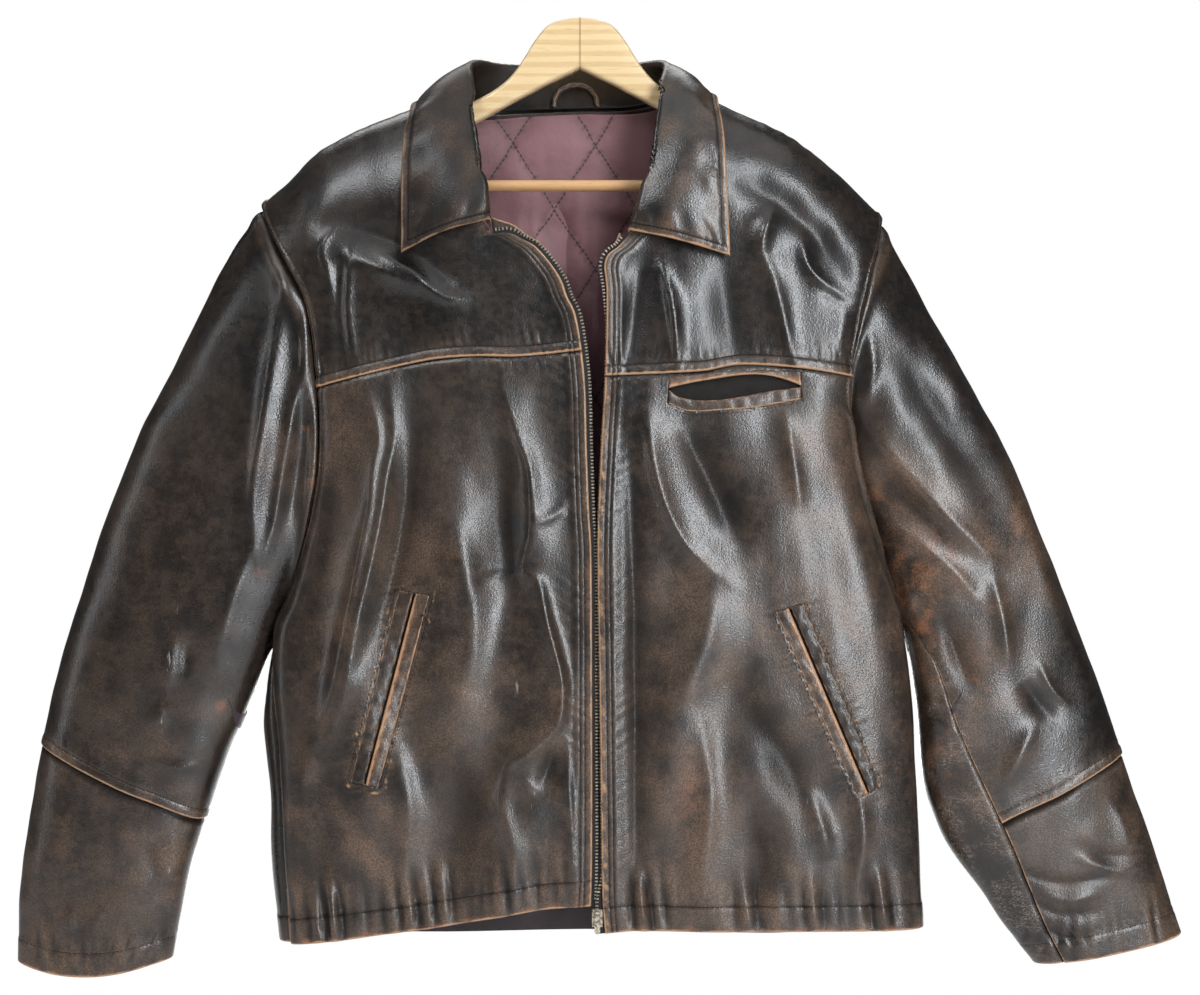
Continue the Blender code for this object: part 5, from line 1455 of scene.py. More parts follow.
def upper_welt_wear(relief, along_it, from_edge, from_lip):
    rub = bell(from_lip, 2.0) * (0.9 + 0.25 * waves(14, 101, along_it))
    orange = bell(from_lip, 3.6) * (1.0 + 0.25 * waves(20, 102, along_it))
    return wear(relief, rub, 0.6, orange, 0.1, 0.0)


def lower_welt_wear(relief, along_it, from_edge, from_lip):
    rub = strongest(0.95 * bell(from_edge, 1.3), 0.5 * bell(from_lip, 1.2))
    rub = rub * (0.95 + 0.25 * waves(14, 103, along_it))
    return wear(relief, rub, 0.4, 0.35 * bell(from_lip, 2.4), 0.1, 0.0)


def build_hand_pocket(side, face):
    top_in, low_in, low_out, top_out = np.array(HAND_POCKET[side], float)
    ahead, outward = unit(low_in - top_in), unit(top_out - top_in)
    slit = SLIT / np.linalg.norm(top_out - top_in)

    def line(share, out=0.0):
        """Line down the pocket at a share of the way across it, moved out and run past both ends."""
        start, end = top_in + (top_out - top_in) * share, low_in + (low_out - low_in) * share
        start, end = start - ahead * POCKET_PAST, end + ahead * POCKET_PAST
        return evenly(np.stack([start, end]) + outward * out, 60)

    inner_edge, outer_edge = line(0, -POCKET_PAST), line(1, POCKET_PAST)
    build_welt(f"hand_pocket_{side}_front_welt", inner_edge, line(0.5 - slit), side, "worn_leather", 0.9,
               front_welt_wear, 96, (14, 168))
    build_welt(f"hand_pocket_{side}_side_welt", outer_edge, line(0.5 + slit), side, "dark_leather", 0.6,
               side_welt_wear, 97, (14, 168))
    build_pocket_facing(f"hand_pocket_{side}_facing", side, np.stack([top_in, low_in]),
                        np.stack([top_out, low_out]))
    frame_line = np.vstack([inner_edge - outward * 2.6, (outer_edge + outward * 2.6)[::-1]])
    stitch_on_front(evenly(np.vstack([frame_line, frame_line[:1]]), 220), face)


def build_chest_pocket(face):
    top, low, upper_lip, lower_lip = (evenly(smooth_line(line), 80) for line in (
        CHEST_POCKET_TOP, CHEST_POCKET_LOW, CHEST_UPPER_LIP, CHEST_LOWER_LIP))
    low_edge = low - [0, 1.6]
    build_welt("chest_pocket_upper_welt", top + [0, 1.6], upper_lip, "left", "dark_leather", 1.2,
               upper_welt_wear, 104, (112, 12))
    build_welt("chest_pocket_lower_welt", low_edge, lower_lip, "left", "dark_leather", 0.7,
               lower_welt_wear, 105, (112, 12))
    build_pocket_facing("chest_pocket_facing", "left", top, low)
    stitch_on_front(low_edge - [0, 2.4], face)


# ---------------------------------------------------------------- zip

# How far the tape and the facing reach out past the zip edge: share of the way up, distance
TAPE_REACH = {
    "right": [(0.0, 4.0), (1.0, 4.0)],
    "left": [(0.0, 5.0), (0.04, 5.0), (0.09, -0.5), (0.85, -0.5), (0.93, 3.0), (1.0, 3.5)],
}
FACING_REACH = {
    "right": [(0.0, 2.0), (0.8, 2.0), (0.93, 5.0), (0.97, 7.0), (1.0, 15.0)],
    "left": [(0.0, -1.5), (0.8, -1.5), (0.93, 1.0), (0.97, 3.0), (1.0, 7.0)],
}
TAPE_INSIDE = {"right": 11.0, "left": 11.5}
FACING_INSIDE = {"right": 28.0, "left": 29.0}
TAPE_DEEPER = LEATHER + LAYER_GAP
FACING_LEATHER = 1.2
TOOTH_PITCH = 2.8
TOOTH_SIZE = (2.7, 1.25, 1.9)      # across the zip, along it, from front to back
# Section of a tooth from front to back: share of its depth, scale
TOOTH_SECTION = ((-0.5, 0.72), (-0.34, 1.0), (0.34, 1.0), (0.5, 0.72))


def zip_edge_line(side):
    """Zip edge from the hem to the neck corner, and the direction out past it, along the front's face."""
    lower, yoke = front_edges(side)
    corner = np.argmin(np.linalg.norm(yoke[2] - NECK[side][-1], axis=1))
    flat = evenly(np.vstack([lower[2][:-2], yoke[2][1:corner + 1]]), 320)
    run = unit(np.gradient(evenly(flat, 320), axis=0))
    outward = np.stack([run[:, 1], np.zeros(len(run)), -run[:, 0]], 1)
    return on_front(side, flat), outward * np.sign(outward[:, 0].mean()) * (1 if side == "right" else -1)


def strip_at(side, edge, outward, past):
    """Points on the front's face, or carried on past its zip edge where past is above zero."""
    points = edge + outward * past[:, None]
    within = past < 0
    points[within, 1] = front_depth(side, points[within, 0], points[within, 2])
    return points


def strip_grid(side, edge, outward, reach, within, deeper, seed):
    """Grid of a strip along the zip, its distances from its own edge, and its relief."""
    past = smooth_through(reach, 0, run_of(edge) / run_of(edge)[-1])[..., 1]
    columns = ticks(within + 6, 2.6, (0, 0.3, 0.8, 1.6)) / (within + 6)
    grid = np.stack([strip_at(side, edge, outward, past - (past + within) * part) for part in columns], 1)
    grid[..., 1] += deeper
    from_edge = columns[None] * (past + within)[:, None]
    return grid, from_edge, rounded(from_edge, 1.0) + 0.25 * waves(30, seed, edge[:, 2:3], from_edge)


def build_zip(side):
    edge, outward = zip_edge_line(side)
    grid, _, relief = strip_grid(side, edge, outward, TAPE_REACH[side], TAPE_INSIDE[side], TAPE_DEEPER, 111)
    leather_piece(f"zip_tape_{side}", "zip_tape", grid, relief, ("zip_tape",), {}, (15, 600),
                  thickness=TAPE)
    grid, from_edge, relief = strip_grid(side, edge, outward, FACING_REACH[side], FACING_INSIDE[side],
                                         TAPE_DEEPER + TAPE + 2 * LAYER_GAP, 112)
    # The facing takes an even painted shading of 0.15 all over.
    layers = wear(relief, bell(from_edge, 1.6), 0.35, 0.3 * bell(from_edge, 3), 0.0, 0.15)
    leather_piece(f"facing_{side}", "dark_leather", grid, relief, ("dark_leather",), layers, (32, 600),
                  thickness=FACING_LEATHER)
    build_teeth(side, edge, outward)


def build_teeth(side, edge, outward):
    """One joined run of cast teeth clamped on the tape's bead."""
    long, high, thick = TOOTH_SIZE
    run = run_of(edge)
    at = np.arange(6, run[-1] - 2, TOOTH_PITCH)
    past = smooth_through(TAPE_REACH[side], 0, at / run[-1])[..., 1]
    centre, out, ahead = (np.stack([np.interp(at, run, field[:, k]) for k in range(3)], 1)
                          for field in (edge, outward, np.gradient(edge, axis=0)))
    out, ahead = unit(out), unit(ahead)
    centre = centre + out * (past - 0.3)[:, None] + [0, TAPE_DEEPER + TAPE / 2, 0]
    ring = []
    for depth, scale in TOOTH_SECTION:
        for across, upward in ((-1, -1), (1, -1), (1, 1), (-1, 1)):
            ring.append(centre + out * (across * long / 2 * scale) + ahead * (upward * high / 2 * scale)
                        - FRONTWARD * (depth * thick))
    corner = np.arange(4)
    after = (corner + 1) % 4
    quads = [np.array([[0, 1, 2, 3], [15, 14, 13, 12]])]
    for low in (0, 4, 8):
        quads.append(low + np.stack([after, corner, corner + 4, after + 4], 1))
    faces = copies(quads, len(at), len(ring))
    teeth = make_object(f"zip_teeth_{side}", np.stack(ring, 1), [faces], LOOKS["zip_metal"], smooth=False)
    place(teeth, "zip_metal")


# ---------------------------------------------------------------- sleeves

SLEEVE_STEP = 3.1
ARMHOLE_TUCK = 2.4        # how far the sleeves run in under the panels
SLEEVE_TOP = 0.003        # share of the way down at which the sleeve's own edge lies
SLANT_GAP = 0.0006
SLANT_LAP = 0.005         # how far the forearm runs up under the top
SEAM_LAP = {"top": -0.0014, "forearm": -0.0014, "under": -0.0070}
CUFF_ROW = 20.0
SLANT_ROW = 8.5
RING_DEPTH = 0.38         # usual depth of the tube, as a share of its width
NEAR_SEAM = (0, 0.4, 1, 1.8, 3.2, 5, 7.5)
NEAR_CUFF = (0, 0.4, 1, 1.8, 3.4, 6, 9.5, 13, 16.5, 19.2, 20, 20.8, 23)
NEAR_SLANT = (0, 0.4, 1, 1.8, 3.4, 5.6, 7.6, 8.5, 9.4, 11.4)
NEAR_TOP_OF_FOREARM = (0, 1, 2, 3, 4.5, 6.5)
# Pieces of a sleeve: finish, distances at the upper and the lower edge; per side width, length and area
SLEEVE_PIECES = {
    "top": ("dark_leather", NEAR_SEAM, NEAR_SLANT, {"right": (250, 505, 0.115), "left": (235, 505, 0.092)}),
    "forearm": ("worn_leather", NEAR_TOP_OF_FOREARM, NEAR_CUFF,
                {"right": (215, 190, 0.0370), "left": (190, 185, 0.0300)}),
    "under": ("dark_leather", NEAR_SEAM, NEAR_CUFF,
              {"right": (120, 500, 0.0410), "left": (150, 495, 0.0560)}),
}


def ring_table():
    """Shares of the way round a flattened tube, even in length and turning, with its width and depth."""
    turn = np.linspace(0, 2 * math.pi, 721)
    power = 2 / SLEEVE_SQUARENESS
    across = np.sign(np.cos(turn)) * np.abs(np.cos(turn)) ** power
    depth = np.sign(np.sin(turn)) * np.abs(np.sin(turn)) ** power
    run = np.hypot(np.diff(across), RING_DEPTH * np.diff(depth))
    heading = np.unwrap(np.arctan2(RING_DEPTH * np.diff(depth), np.diff(across)))
    bend = np.abs(np.diff(heading, prepend=heading[0]))
    share = np.concatenate([[0], np.cumsum(run / run.sum() + bend / bend.sum())])
    return share / share[-1], across, depth


RING = ring_table()


def turn_at(place_round):
    """The even-turning share at a place round the sleeve (0 outer edge, 1 inner edge, back to 2)."""
    share, across, _ = RING
    half = len(share) // 2 + 1
    place_round = np.asarray(place_round, float)
    front = np.interp(np.clip(place_round, 0, 1), (1 - across[:half]) / 2, share[:half])
    lap = np.where(place_round < 0, place_round + 2, place_round)
    back = np.interp(np.clip(lap, 1, 2), (3 + across[half - 1:]) / 2, share[half - 1:])
    return np.where((place_round >= 0) & (place_round <= 1), front, back - (place_round < 0))


def armhole(side, table, down):
    """The armhole's (across, depth) at this share of the way down from the shoulder to the armpit."""
    tip, pit = SLEEVE[side][0][2], SLEEVE[side][0][4]
    height = tip + (pit - tip) * down
    rows = smooth_through(table[side], 1, height)
    away = ARMHOLE_TUCK if side == "right" else -ARMHOLE_TUCK
    return rows[..., 0] + away, rows[..., 2] * shoulder_round(tip - height)


def sleeve_points(side, turn, down):
    """Points of a sleeve at shares of the way round (outer edge, front, inner edge, back) and down."""
    share, across, depth = RING
    across, depth = np.interp(turn % 1.0, share, across), np.interp(turn % 1.0, share, depth)
    inward = (1 - across) / 2
    rows = smooth_through(SLEEVE[side], 0, down)
    outer, inner, half_depth = rows[..., 1:3], rows[..., 3:5], rows[..., 5]
    flat = outer + (inner - outer) * inward[..., None]
    first = SLEEVE[side][0]
    straight = first[1] + (first[3] - first[1]) * inward
    front_x, front_y = armhole(side, ARM_AND_SIDE, inward)
    back_x, back_y = armhole(side, BACK_EDGE, inward)
    front = depth >= 0
    fade = smoothstep(SLEEVE_BLEND, 0, down)
    x = flat[..., 0] + (np.where(front, front_x, back_x) - straight) * fade
    y = -half_depth * depth * (1 - fade) + np.where(front, front_y, back_y) * fade
    z = flat[..., 1] - CUFF_DROOP[side] * np.sin(math.pi * inward) * np.clip(down * 6 - 5, 0, 1) ** 2
    y = y - strokes(x, z, SLEEVE_FRONT_FOLDS[side]) * np.clip(depth, 0, 1)
    y = y + strokes(x, z, SLEEVE_BACK_FOLDS[side]) * np.clip(-depth, 0, 1)
    return np.stack([x, y, z], -1)


def middle_of_sleeve(side, down):
    rows = smooth_through(SLEEVE[side], 0, down)
    x, z = np.moveaxis((rows[..., 1:3] + rows[..., 3:5]) / 2, -1, 0)
    return np.stack([x, np.zeros_like(x), z], -1)


def sleeve_slant(side, turn):
    rows = [(float(turn_at(place_round)), down) for place_round, down in FOREARM_SEAM[side]]
    return smooth_through(rows, 0, turn)[..., 1]


def sleeve_surface(side, part):
    """Surface of one sleeve piece over (share from the front seam to the back one, share down)."""
    def surface(u, v):
        down = SLEEVE_TOP + 0.9 * v
        for _ in range(5):
            seams = smooth_through(SLEEVE_SEAMS[side], 0, down)
            front, back = turn_at(seams[..., 1]) + SEAM_LAP[part], turn_at(seams[..., 2]) - SEAM_LAP[part]
            turn = front + (back - (part != "under") - front) * u
            start, end = SLEEVE_TOP, 1.0
            if part == "top":
                end = sleeve_slant(side, turn) - SLANT_GAP
            elif part == "forearm":
                start = sleeve_slant(side, turn) - SLANT_LAP
            down = start + (end - start) * v
        return sleeve_points(side, turn, down)

    return surface


def sleeve_relief(part, seed, x, y, z, from_seam, from_high, from_low):
    around = x + 0.6 * y
    relief = undulation(x + 0.4 * y, z, seed) + 0.25 * waves(34, seed + 1, 0.35 * around, z)
    near_seams = sum(bell(gap - 4, 5) for gap in from_seam)
    relief += 0.35 * puckers(z, seed + 2, 6) * near_seams
    if part == "under":
        relief -= 2.3 * smoothstep(6.5, 2.2, np.minimum(*from_seam))
    else:
        relief += rounded(from_seam[0], 0.6) + rounded(from_seam[1], 0.6)
    if part == "forearm":
        relief += 0.6 * puckers(around, seed + 4, 5) * bell(from_high - 5, 8)
        relief -= 1.7 * smoothstep(7, 2.5, from_high)
    else:
        relief += 2.2 * bell(from_high - 13, 7) - 2.6 * smoothstep(7, 1.5, from_high)
        relief += 0.6 * puckers(z + 0.6 * around, seed + 3, 5) * bell(from_high - 5, 9)
    if part == "top":
        relief += 1.2 * smoothstep(13, 3, from_low) + rounded(from_low, 1.6)
        relief += stitched(from_low, SLANT_ROW, around, seed + 4, 0.6, 0.55, 10)
    else:
        relief += hem_relief(from_low, CUFF_ROW, around, seed + 5, 0.9, 12)
        uneven = 0.4 + 0.7 * waves(50, seed + 14, around)
        relief += 1.1 * waves(15, seed + 13, around + 0.15 * z) * bell(from_low - 20, 18) * uneven
    return relief


def sleeve_wear(side, part, relief, seed, x, y, z, from_seam, from_high, from_low):
    around = x + 0.6 * y
    seen = np.clip(0.5 - y / 20, 0.35, 1)
    brown = patches(x, z, SLEEVE_BROWN[side]) * (0.85 + 0.35 * waves(40, seed + 6, x, z)) * seen
    orange = patches(x, z, SLEEVE_ORANGE[side]) * seen * (0.7 + 0.5 * waves(20, seed + 7, x, z))
    pale = patches(x, z, SLEEVE_PALE[side]) * seen
    rub = strongest(0.75 * bell(from_seam[0], 1.4), 0.6 * bell(from_seam[1], 1.4)) * (
        0.85 + 0.3 * waves(26, seed + 8, z))
    # Painted shading in the fold troughs, and also beside the under piece's sunk seams, under the top's edge
    # on the forearm and along the armhole.
    shade = np.where(y < 0, hollows(x, z, SLEEVE_FRONT_FOLDS[side]), hollows(x, z, SLEEVE_BACK_FOLDS[side]))
    crack = 0.0
    if part == "under":
        rub = 0.0
        shade = strongest(shade, smoothstep(4.6, 2.6, np.minimum(*from_seam)))
        if side == "left":
            crack = 0.9 * smoothstep(-540, -600, z) * seen
    if part == "forearm":
        shade = strongest(shade, smoothstep(8.5, 5.4, from_high))
        brown = strongest(brown, 0.35)
    else:
        shade = strongest(shade, smoothstep(3.2, 0.4, from_high))
    if part == "top":
        rub = strongest(rub, bell(from_low, 1.9) * (0.95 + 0.15 * waves(22, seed + 9, around)))
        brown = strongest(brown, 0.6 * bell(from_low - 5, 8))
    else:
        rub = strongest(rub, bell(from_low, 2.0) * (0.9 + 0.25 * waves(22, seed + 10, around)))
        orange = strongest(orange, 0.6 * bell(from_low, 4.5) * (0.7 + 0.5 * waves(16, seed + 11, around)))
        brown = strongest(brown, bell(from_low, 24) * (0.5 + 0.3 * waves(26, seed + 12, around)))
    return wear(relief, rub, brown, orange, pale, shade, crack)


def build_sleeve_piece(side, part):
    look, high_ticks, low_ticks, sizes = SLEEVE_PIECES[part]
    surface = sleeve_surface(side, part)
    shares = np.linspace(0, 1, 40)
    rough = surface(*np.broadcast_arrays(shares[None], shares[:, None]))
    across = ticks(run_of(rough[20])[-1], SLEEVE_STEP, NEAR_SEAM, NEAR_SEAM)
    down = ticks(run_of(rough[:, 20])[-1], SLEEVE_STEP, high_ticks, low_ticks)
    base, _, vv = evened(surface, across, down)
    seed = {"right": 200, "left": 260}[side]
    where = (seed, base[..., 0], base[..., 1], base[..., 2],
             (across[None], (across[-1] - across)[None]), down[:, None], (down[-1] - down)[:, None])
    relief = sleeve_relief(part, *where)
    width, length, area = sizes[side]
    face = leather_piece(
        f"sleeve_{side}_{part}", "worn_leather" if part == "forearm" else "dark_leather", base, relief,
        (look, "plain_lining"), sleeve_wear(side, part, relief, *where), (width, length),
        area=area, outside=base - middle_of_sleeve(side, vv))
    row = nearest(down, down[-1] - (SLANT_ROW if part == "top" else CUFF_ROW))
    stitch_row(*face[:, row, 3:-3])


# ---------------------------------------------------------------- back and lining

BACK_STEP = 4.2
BACK_SIZE = (610, 740)
LINING_STEP = 3.4
LINING_SIZE = (470, 520)
LINING_EDGE = (0, 0.6, 1.6)
LINING_FOOT = 0.25        # share of the back's height below the lining
LINING_TRIM = 0.25        # how far out past the neck the lining reaches, as a share of each shoulder
NECK_POWER = 2.6
SHALLOWEST_BACK = 1.2     # the most that folds may sink in towards the lining
BACK_BROWN = [(-160, -200, 60, 50, 0.5), (160, -195, 60, 50, 0.5), (0, -700, 200, 70, 0.6),
              (-180, -560, 50, 90, 0.5), (190, -580, 50, 90, 0.5)]
BACK_PALE = [(-60, -420, 20, 90, 0.4), (110, -300, 16, 60, 0.35), (30, -620, 16, 60, 0.4)]
LINING_FOLDS = [
    (5, 8, 14, (-40, -130), (-38, -190), (-44, -260), (-40, -330)),
    (-4, 8, 8, (-20, -140), (-16, -200), (-12, -280)),
    (4, 7, 12, (10, -150), (14, -220), (10, -320)),
    (2.6, 9, 9, (-56, -110), (-52, -150), (-56, -210), (-50, -300)),
    (2.2, 8, 8, (-4, -105), (-2, -160), (2, -230), (-2, -330)),
    (-1.8, 8, 8, (-30, -110), (-28, -180), (-26, -260)),
    (2.2, 10, 10, (36, -120), (30, -190), (28, -280)),
]


def back_section(z, shares):
    """Points of the back panel at one height, at shares of the way from right to left."""
    ends = []
    for side, sign in (("right", -1), ("left", 1)):
        seam_x, _, seam_y, swell = smooth_through(BACK_EDGE[side], 1, z)
        swell_y = min(seam_y + swell * 1.3, 6.0) if swell > 0 else seam_y
        ends.append((seam_x, seam_y, seam_x + sign * swell, swell_y))
    (rx, ry, rsx, rsy), (lx, ly, lsx, lsy) = ends
    middle = (rsx + lsx) / 2
    turn = np.linspace(0, math.pi / 2, 90)
    path = [np.stack([rx + (rsx - rx) * np.sin(turn), rsy + (ry - rsy) * np.cos(turn)], 1)]
    power = 2 / BACK_SQUARENESS
    for edge_x, edge_y, angle in ((rsx, rsy, turn), (lsx, lsy, turn[::-1])):
        path.append(np.stack([
            middle + (edge_x - middle) * np.cos(angle) ** power,
            edge_y + (BACK_DEPTH - edge_y) * np.sin(angle) ** power,
        ], 1))
    path.append(np.stack([lx + (lsx - lx) * np.cos(turn), lsy + (ly - lsy) * np.sin(turn)], 1))
    return at_shares(np.vstack(path), shares)


def back_top(shares):
    """Height and depth of the top edge of the back: shoulder, neck seam, shoulder."""
    x = back_section(SHOULDER["right"][0][1], shares)[..., 0]
    right, left = SHOULDER["right"][0][0], SHOULDER["left"][0][0]
    inward = np.clip(np.minimum(x - right, left - x) / ((left - right) / 2), 0, 1)
    depth = NECK_SEAM_DEPTH * (1 - (1 - inward) ** NECK_POWER) ** (1 / NECK_POWER)
    ends = [smooth_through(SHOULDER[side], 0, x)[..., 1] for side in ("right", "left")]
    height = np.select([x < right, x > left], ends, smooth_through(BACK_NECK, 0, x)[..., 1])
    return height, depth


LEVELS = np.linspace(-790, -50, 186)
SECTIONS = np.stack([back_section(z, np.linspace(0, 1, 301)) for z in LEVELS])


def back_points(shares, rise):
    """Points of the back panel: shares of the way across from the right, rise from the hem to the top."""
    top, top_depth = back_top(shares)
    hem = smooth_through(BACK_HEM, 0, shares)[..., 1]
    z = hem + (top - hem) * rise
    x, y = np.moveaxis(cubic(SECTIONS, shares, (z - LEVELS[0]) / (LEVELS[-1] - LEVELS[0])), -1, 0)
    start = np.maximum(top_depth, SHOULDER_GAP)
    return np.stack([x, start + (y - start) * shoulder_round(top - z), z], -1)


def softly_limited(sunk, most):
    """Relief that sinks no deeper than this, and stays as it is where it stands out."""
    return np.where(sunk < 0, most * np.tanh(sunk / most), sunk)


def back_surface(shares, rise):
    points = back_points(shares, rise)
    calm = smoothstep(0, 0.08, shares) * smoothstep(0, 0.08, 1 - shares)
    folds = strokes(points[..., 0], points[..., 2], BACK_FOLDS)
    points[..., 1] += softly_limited(folds, SHALLOWEST_BACK) * calm
    return points


def build_back():
    across = ticks(BACK_SIZE[0], BACK_STEP, NEAR_ARM, NEAR_ARM)
    up = ticks(BACK_SIZE[1], BACK_STEP, NEAR_HEM, (0, 0.4, 1, 1.8, 3.4, 6))
    base = evened(back_surface, across, up)[0]
    x, z = base[..., 0], base[..., 2]
    side_gap = np.minimum(across, across[-1] - across)[None]
    from_hem, from_top = up[:, None], (up[-1] - up)[:, None]
    relief = undulation(x, z, 301, 1.0) + rounded(from_top) + hem_relief(from_hem, HEM_ROW, x, 303, 0.8, 13)
    relief += armhole_relief(side_gap, z, 302) * smoothstep(*ARMPIT, z)
    relief += 0.5 * puckers(x, 304, 10) * bell(from_top, 16)
    relief = softly_limited(relief, 1.3)
    rub = strongest(bell(from_hem, 2.0) * (0.85 + 0.3 * waves(40, 305, x)), bell(side_gap, 1.6) * 0.8,
                    bell(from_top, 1.6) * 0.7)
    brown = strongest(patches(x, z, BACK_BROWN) * (0.75 + 0.4 * waves(45, 306, x, z)),
                      bell(from_hem, 26) * 0.5)
    orange = 0.6 * bell(from_hem, 5.5) * (0.7 + 0.5 * waves(26, 307, x))
    # The last value is painted shading in the hem's stitch groove.
    layers = wear(relief, rub, brown, orange, patches(x, z, BACK_PALE), 0.6 * bell(from_hem - HEM_ROW, 1.1))
    face = leather_piece(
        "back_panel", "dark_leather", base, relief, ("dark_leather", "plain_lining"), layers, (620, 735),
        area=0.385, outside=BACKWARD)
    stitch_row(*face[:, nearest(up, HEM_ROW), 10:-10])
    first = nearest(across, STRIP_ROW)
    for column in (first, len(across) - 1 - first):
        stitch_row(*face[:, np.flatnonzero(face[0, :, column, 2] > ARM_STITCHES_END)[:-4], column])


def lining_surface():
    """Face of the lining's outside, just inside the back, over (share across, share up)."""
    shares = np.linspace(0, 1, 400)
    x = back_section(SHOULDER["right"][0][1], shares)[:, 0]
    start, end = (float(np.interp(SHOULDER[side][0][0], x, shares)) for side in ("right", "left"))
    rows = np.linspace(0, 1, 150)
    columns = np.linspace(start * LINING_TRIM, 1 - (1 - end) * LINING_TRIM, 170)
    grid = back_points(*np.broadcast_arrays(columns[None], rows[:, None]))
    near_neck = np.clip(grid[..., 2] / 30 + 4.3, 0, 1)
    inside_face = grid + facing(grid, BACKWARD) * (-LEATHER - LINING_GAP - 1.3 * near_neck)[..., None]
    at_neck = np.clip(back_top(columns)[1] / NECK_SEAM_DEPTH * 3 - 0.5, 0, 1)

    def surface(u, v):
        top = 0.92 + 0.077 * np.interp(u, np.linspace(0, 1, 170), at_neck)
        return cubic(inside_face, u, LINING_FOOT + (top - LINING_FOOT) * v)

    return surface


def quilt_distance(x, z):
    """Distance to the nearest quilting line, and along it: two sets of lines that cross in diamonds."""
    near, run = np.inf, 0.0
    for slope in (math.radians(QUILT_SLOPE), -math.radians(QUILT_SLOPE)):
        from_x, from_z = x - QUILT_CROSSING[0], z - QUILT_CROSSING[1]
        off = from_x * math.sin(slope) - from_z * math.cos(slope)
        here = np.abs((off / QUILT_SPACING + 0.5) % 1 - 0.5) * QUILT_SPACING
        run = np.where(here < near, from_x * math.cos(slope) + from_z * math.sin(slope), run)
        near = np.minimum(near, here)
    return near, run


def build_lining():
    across, up = (ticks(size, LINING_STEP, LINING_EDGE, LINING_EDGE) for size in LINING_SIZE)
    base = evened(lining_surface(), across, up)[0]
    x, z = base[..., 0], base[..., 2]
    from_end, from_rim = np.minimum(across, across[-1] - across), np.minimum(up, up[-1] - up)
    from_edge = np.minimum(from_end[None], from_rim[:, None])
    line, run = quilt_distance(x, z)
    puff = 2.0 * (1 - np.exp(-line / 7.5)) + 0.4 * puckers(run, 402, 8) * bell(line - 4, 5)
    relief = 0.9 - puff - strokes(x, z, LINING_FOLDS) - 0.8 * waves(60, 403, x, z)
    # Painted shading along the quilting grooves and where the lining sinks.
    shade = strongest(0.85 * bell(line, 0.9), 0.35 * smoothstep(1, -1.5, -relief))
    normal = facing(base, BACKWARD)
    curled = rounded(from_edge, 0.8)
    back_face = base + normal * (curled - 0.2)[..., None]
    front_face = base + normal * (relief - LINING - curled)[..., None]
    obj = shell("back_lining_cloth", front_face, back_face, ("quilted_lining",), {"shade": shade})
    place(obj, "quilted_lining", "back_lining")
    cloth(obj, (475, 530), area=0.215)


# ---------------------------------------------------------------- collar and loop

COLLAR_ROW = 6.5
COLLAR_SIZE = (720, 118)
NEAR_COLLAR = (0, 0.4, 1, 1.8, 3.2, 5, 6.5, 8, 10)
FOLD_AT = 0.30            # share of the way from the foot to the edge at which the collar turns over


def neck_curve():
    """The neck seam from the right zip edge round the back to the left one, and where its back lies."""
    shares = np.linspace(0, 1, 120)
    right, left = (on_front(side, along(NECK[side][::-1], shares)) for side in ("right", "left"))
    x = np.linspace(SHOULDER["right"][0][0], SHOULDER["left"][0][0], 200)
    shares = np.linspace(0, 1, 800)
    where = np.interp(x, back_section(SHOULDER["right"][0][1], shares)[:, 0], shares)
    height, depth = back_top(where)
    back = np.stack([x, depth, height], 1)[1:-1]
    curve = np.vstack([right, back, left[::-1]])
    length = run_of(curve)
    return curve, length, length[len(right) - 1], length[len(right) + len(back) - 1]


def between(first, second, share):
    return first + (second - first) * share


def collar_section(base, stand, fall, ahead, turns=9, falls=15):
    """Points from the neck seam up the stand, round the fold and down the fall; ahead is along the fold."""
    up = unit(stand - base)
    out = unit(np.cross(up, ahead))
    base = base + up * COLLAR_SEAM_GAP
    top = stand - up * FOLD_RADIUS
    centre = top + out * FOLD_RADIUS
    heading = unit(fall - centre)
    angle = math.atan2(np.dot(heading, out), np.dot(heading, up)) + 0.15
    points = [between(base, top, share) for share in (0, 0.25, 0.5, 0.75)]
    for alpha in np.linspace(0, angle, turns):
        points.append(centre + FOLD_RADIUS * (up * math.sin(alpha) - out * math.cos(alpha)))
    last, normal = points[-1], unit(points[-1] - centre)
    for share in np.linspace(0, 1, falls + 1)[1:]:
        belly = FALL_BELLY * math.sin(math.pi * share) * (1 - 0.4 * share)
        points.append(between(last, fall, share) + normal * belly)
    return np.array(points)


def lifted_off(points):
    """Collar points moved out where they would come too near the shoulders under the fall."""
    x, y, z = points[..., 0], points[..., 1], points[..., 2]
    moved = points.copy()
    middle = (SHOULDER["right"][0][0] + SHOULDER["left"][0][0]) / 2
    for side, sign, here in (("right", -1, x < middle), ("left", 1, x >= middle)):
        out = (x - SHOULDER[side][0][0]) * sign
        top = smooth_through(SHOULDER[side], 0, x)[..., 1]
        high = np.maximum(SHOULDER_ROUND - (top - z), 0)
        deep = np.where(y < 0, -front_depth(side, x, np.minimum(z, top - SHOULDER_ROUND)), BACK_DEPTH)
        ratio = np.hypot(high / SHOULDER_ROUND, y / deep)
        needed = 1 + COLLAR_CLEAR * ratio / np.maximum(np.hypot(high, y), 1e-6)
        lift = here & ((out > -4) | (y < 0)) & (ratio < needed) & (ratio > 1e-6)
        factor = needed / np.maximum(ratio, 1e-6)
        moved[..., 1] = np.where(lift, y * factor, moved[..., 1])
        moved[..., 2] = np.where(lift, z + high * (factor - 1), moved[..., 2])
    return moved


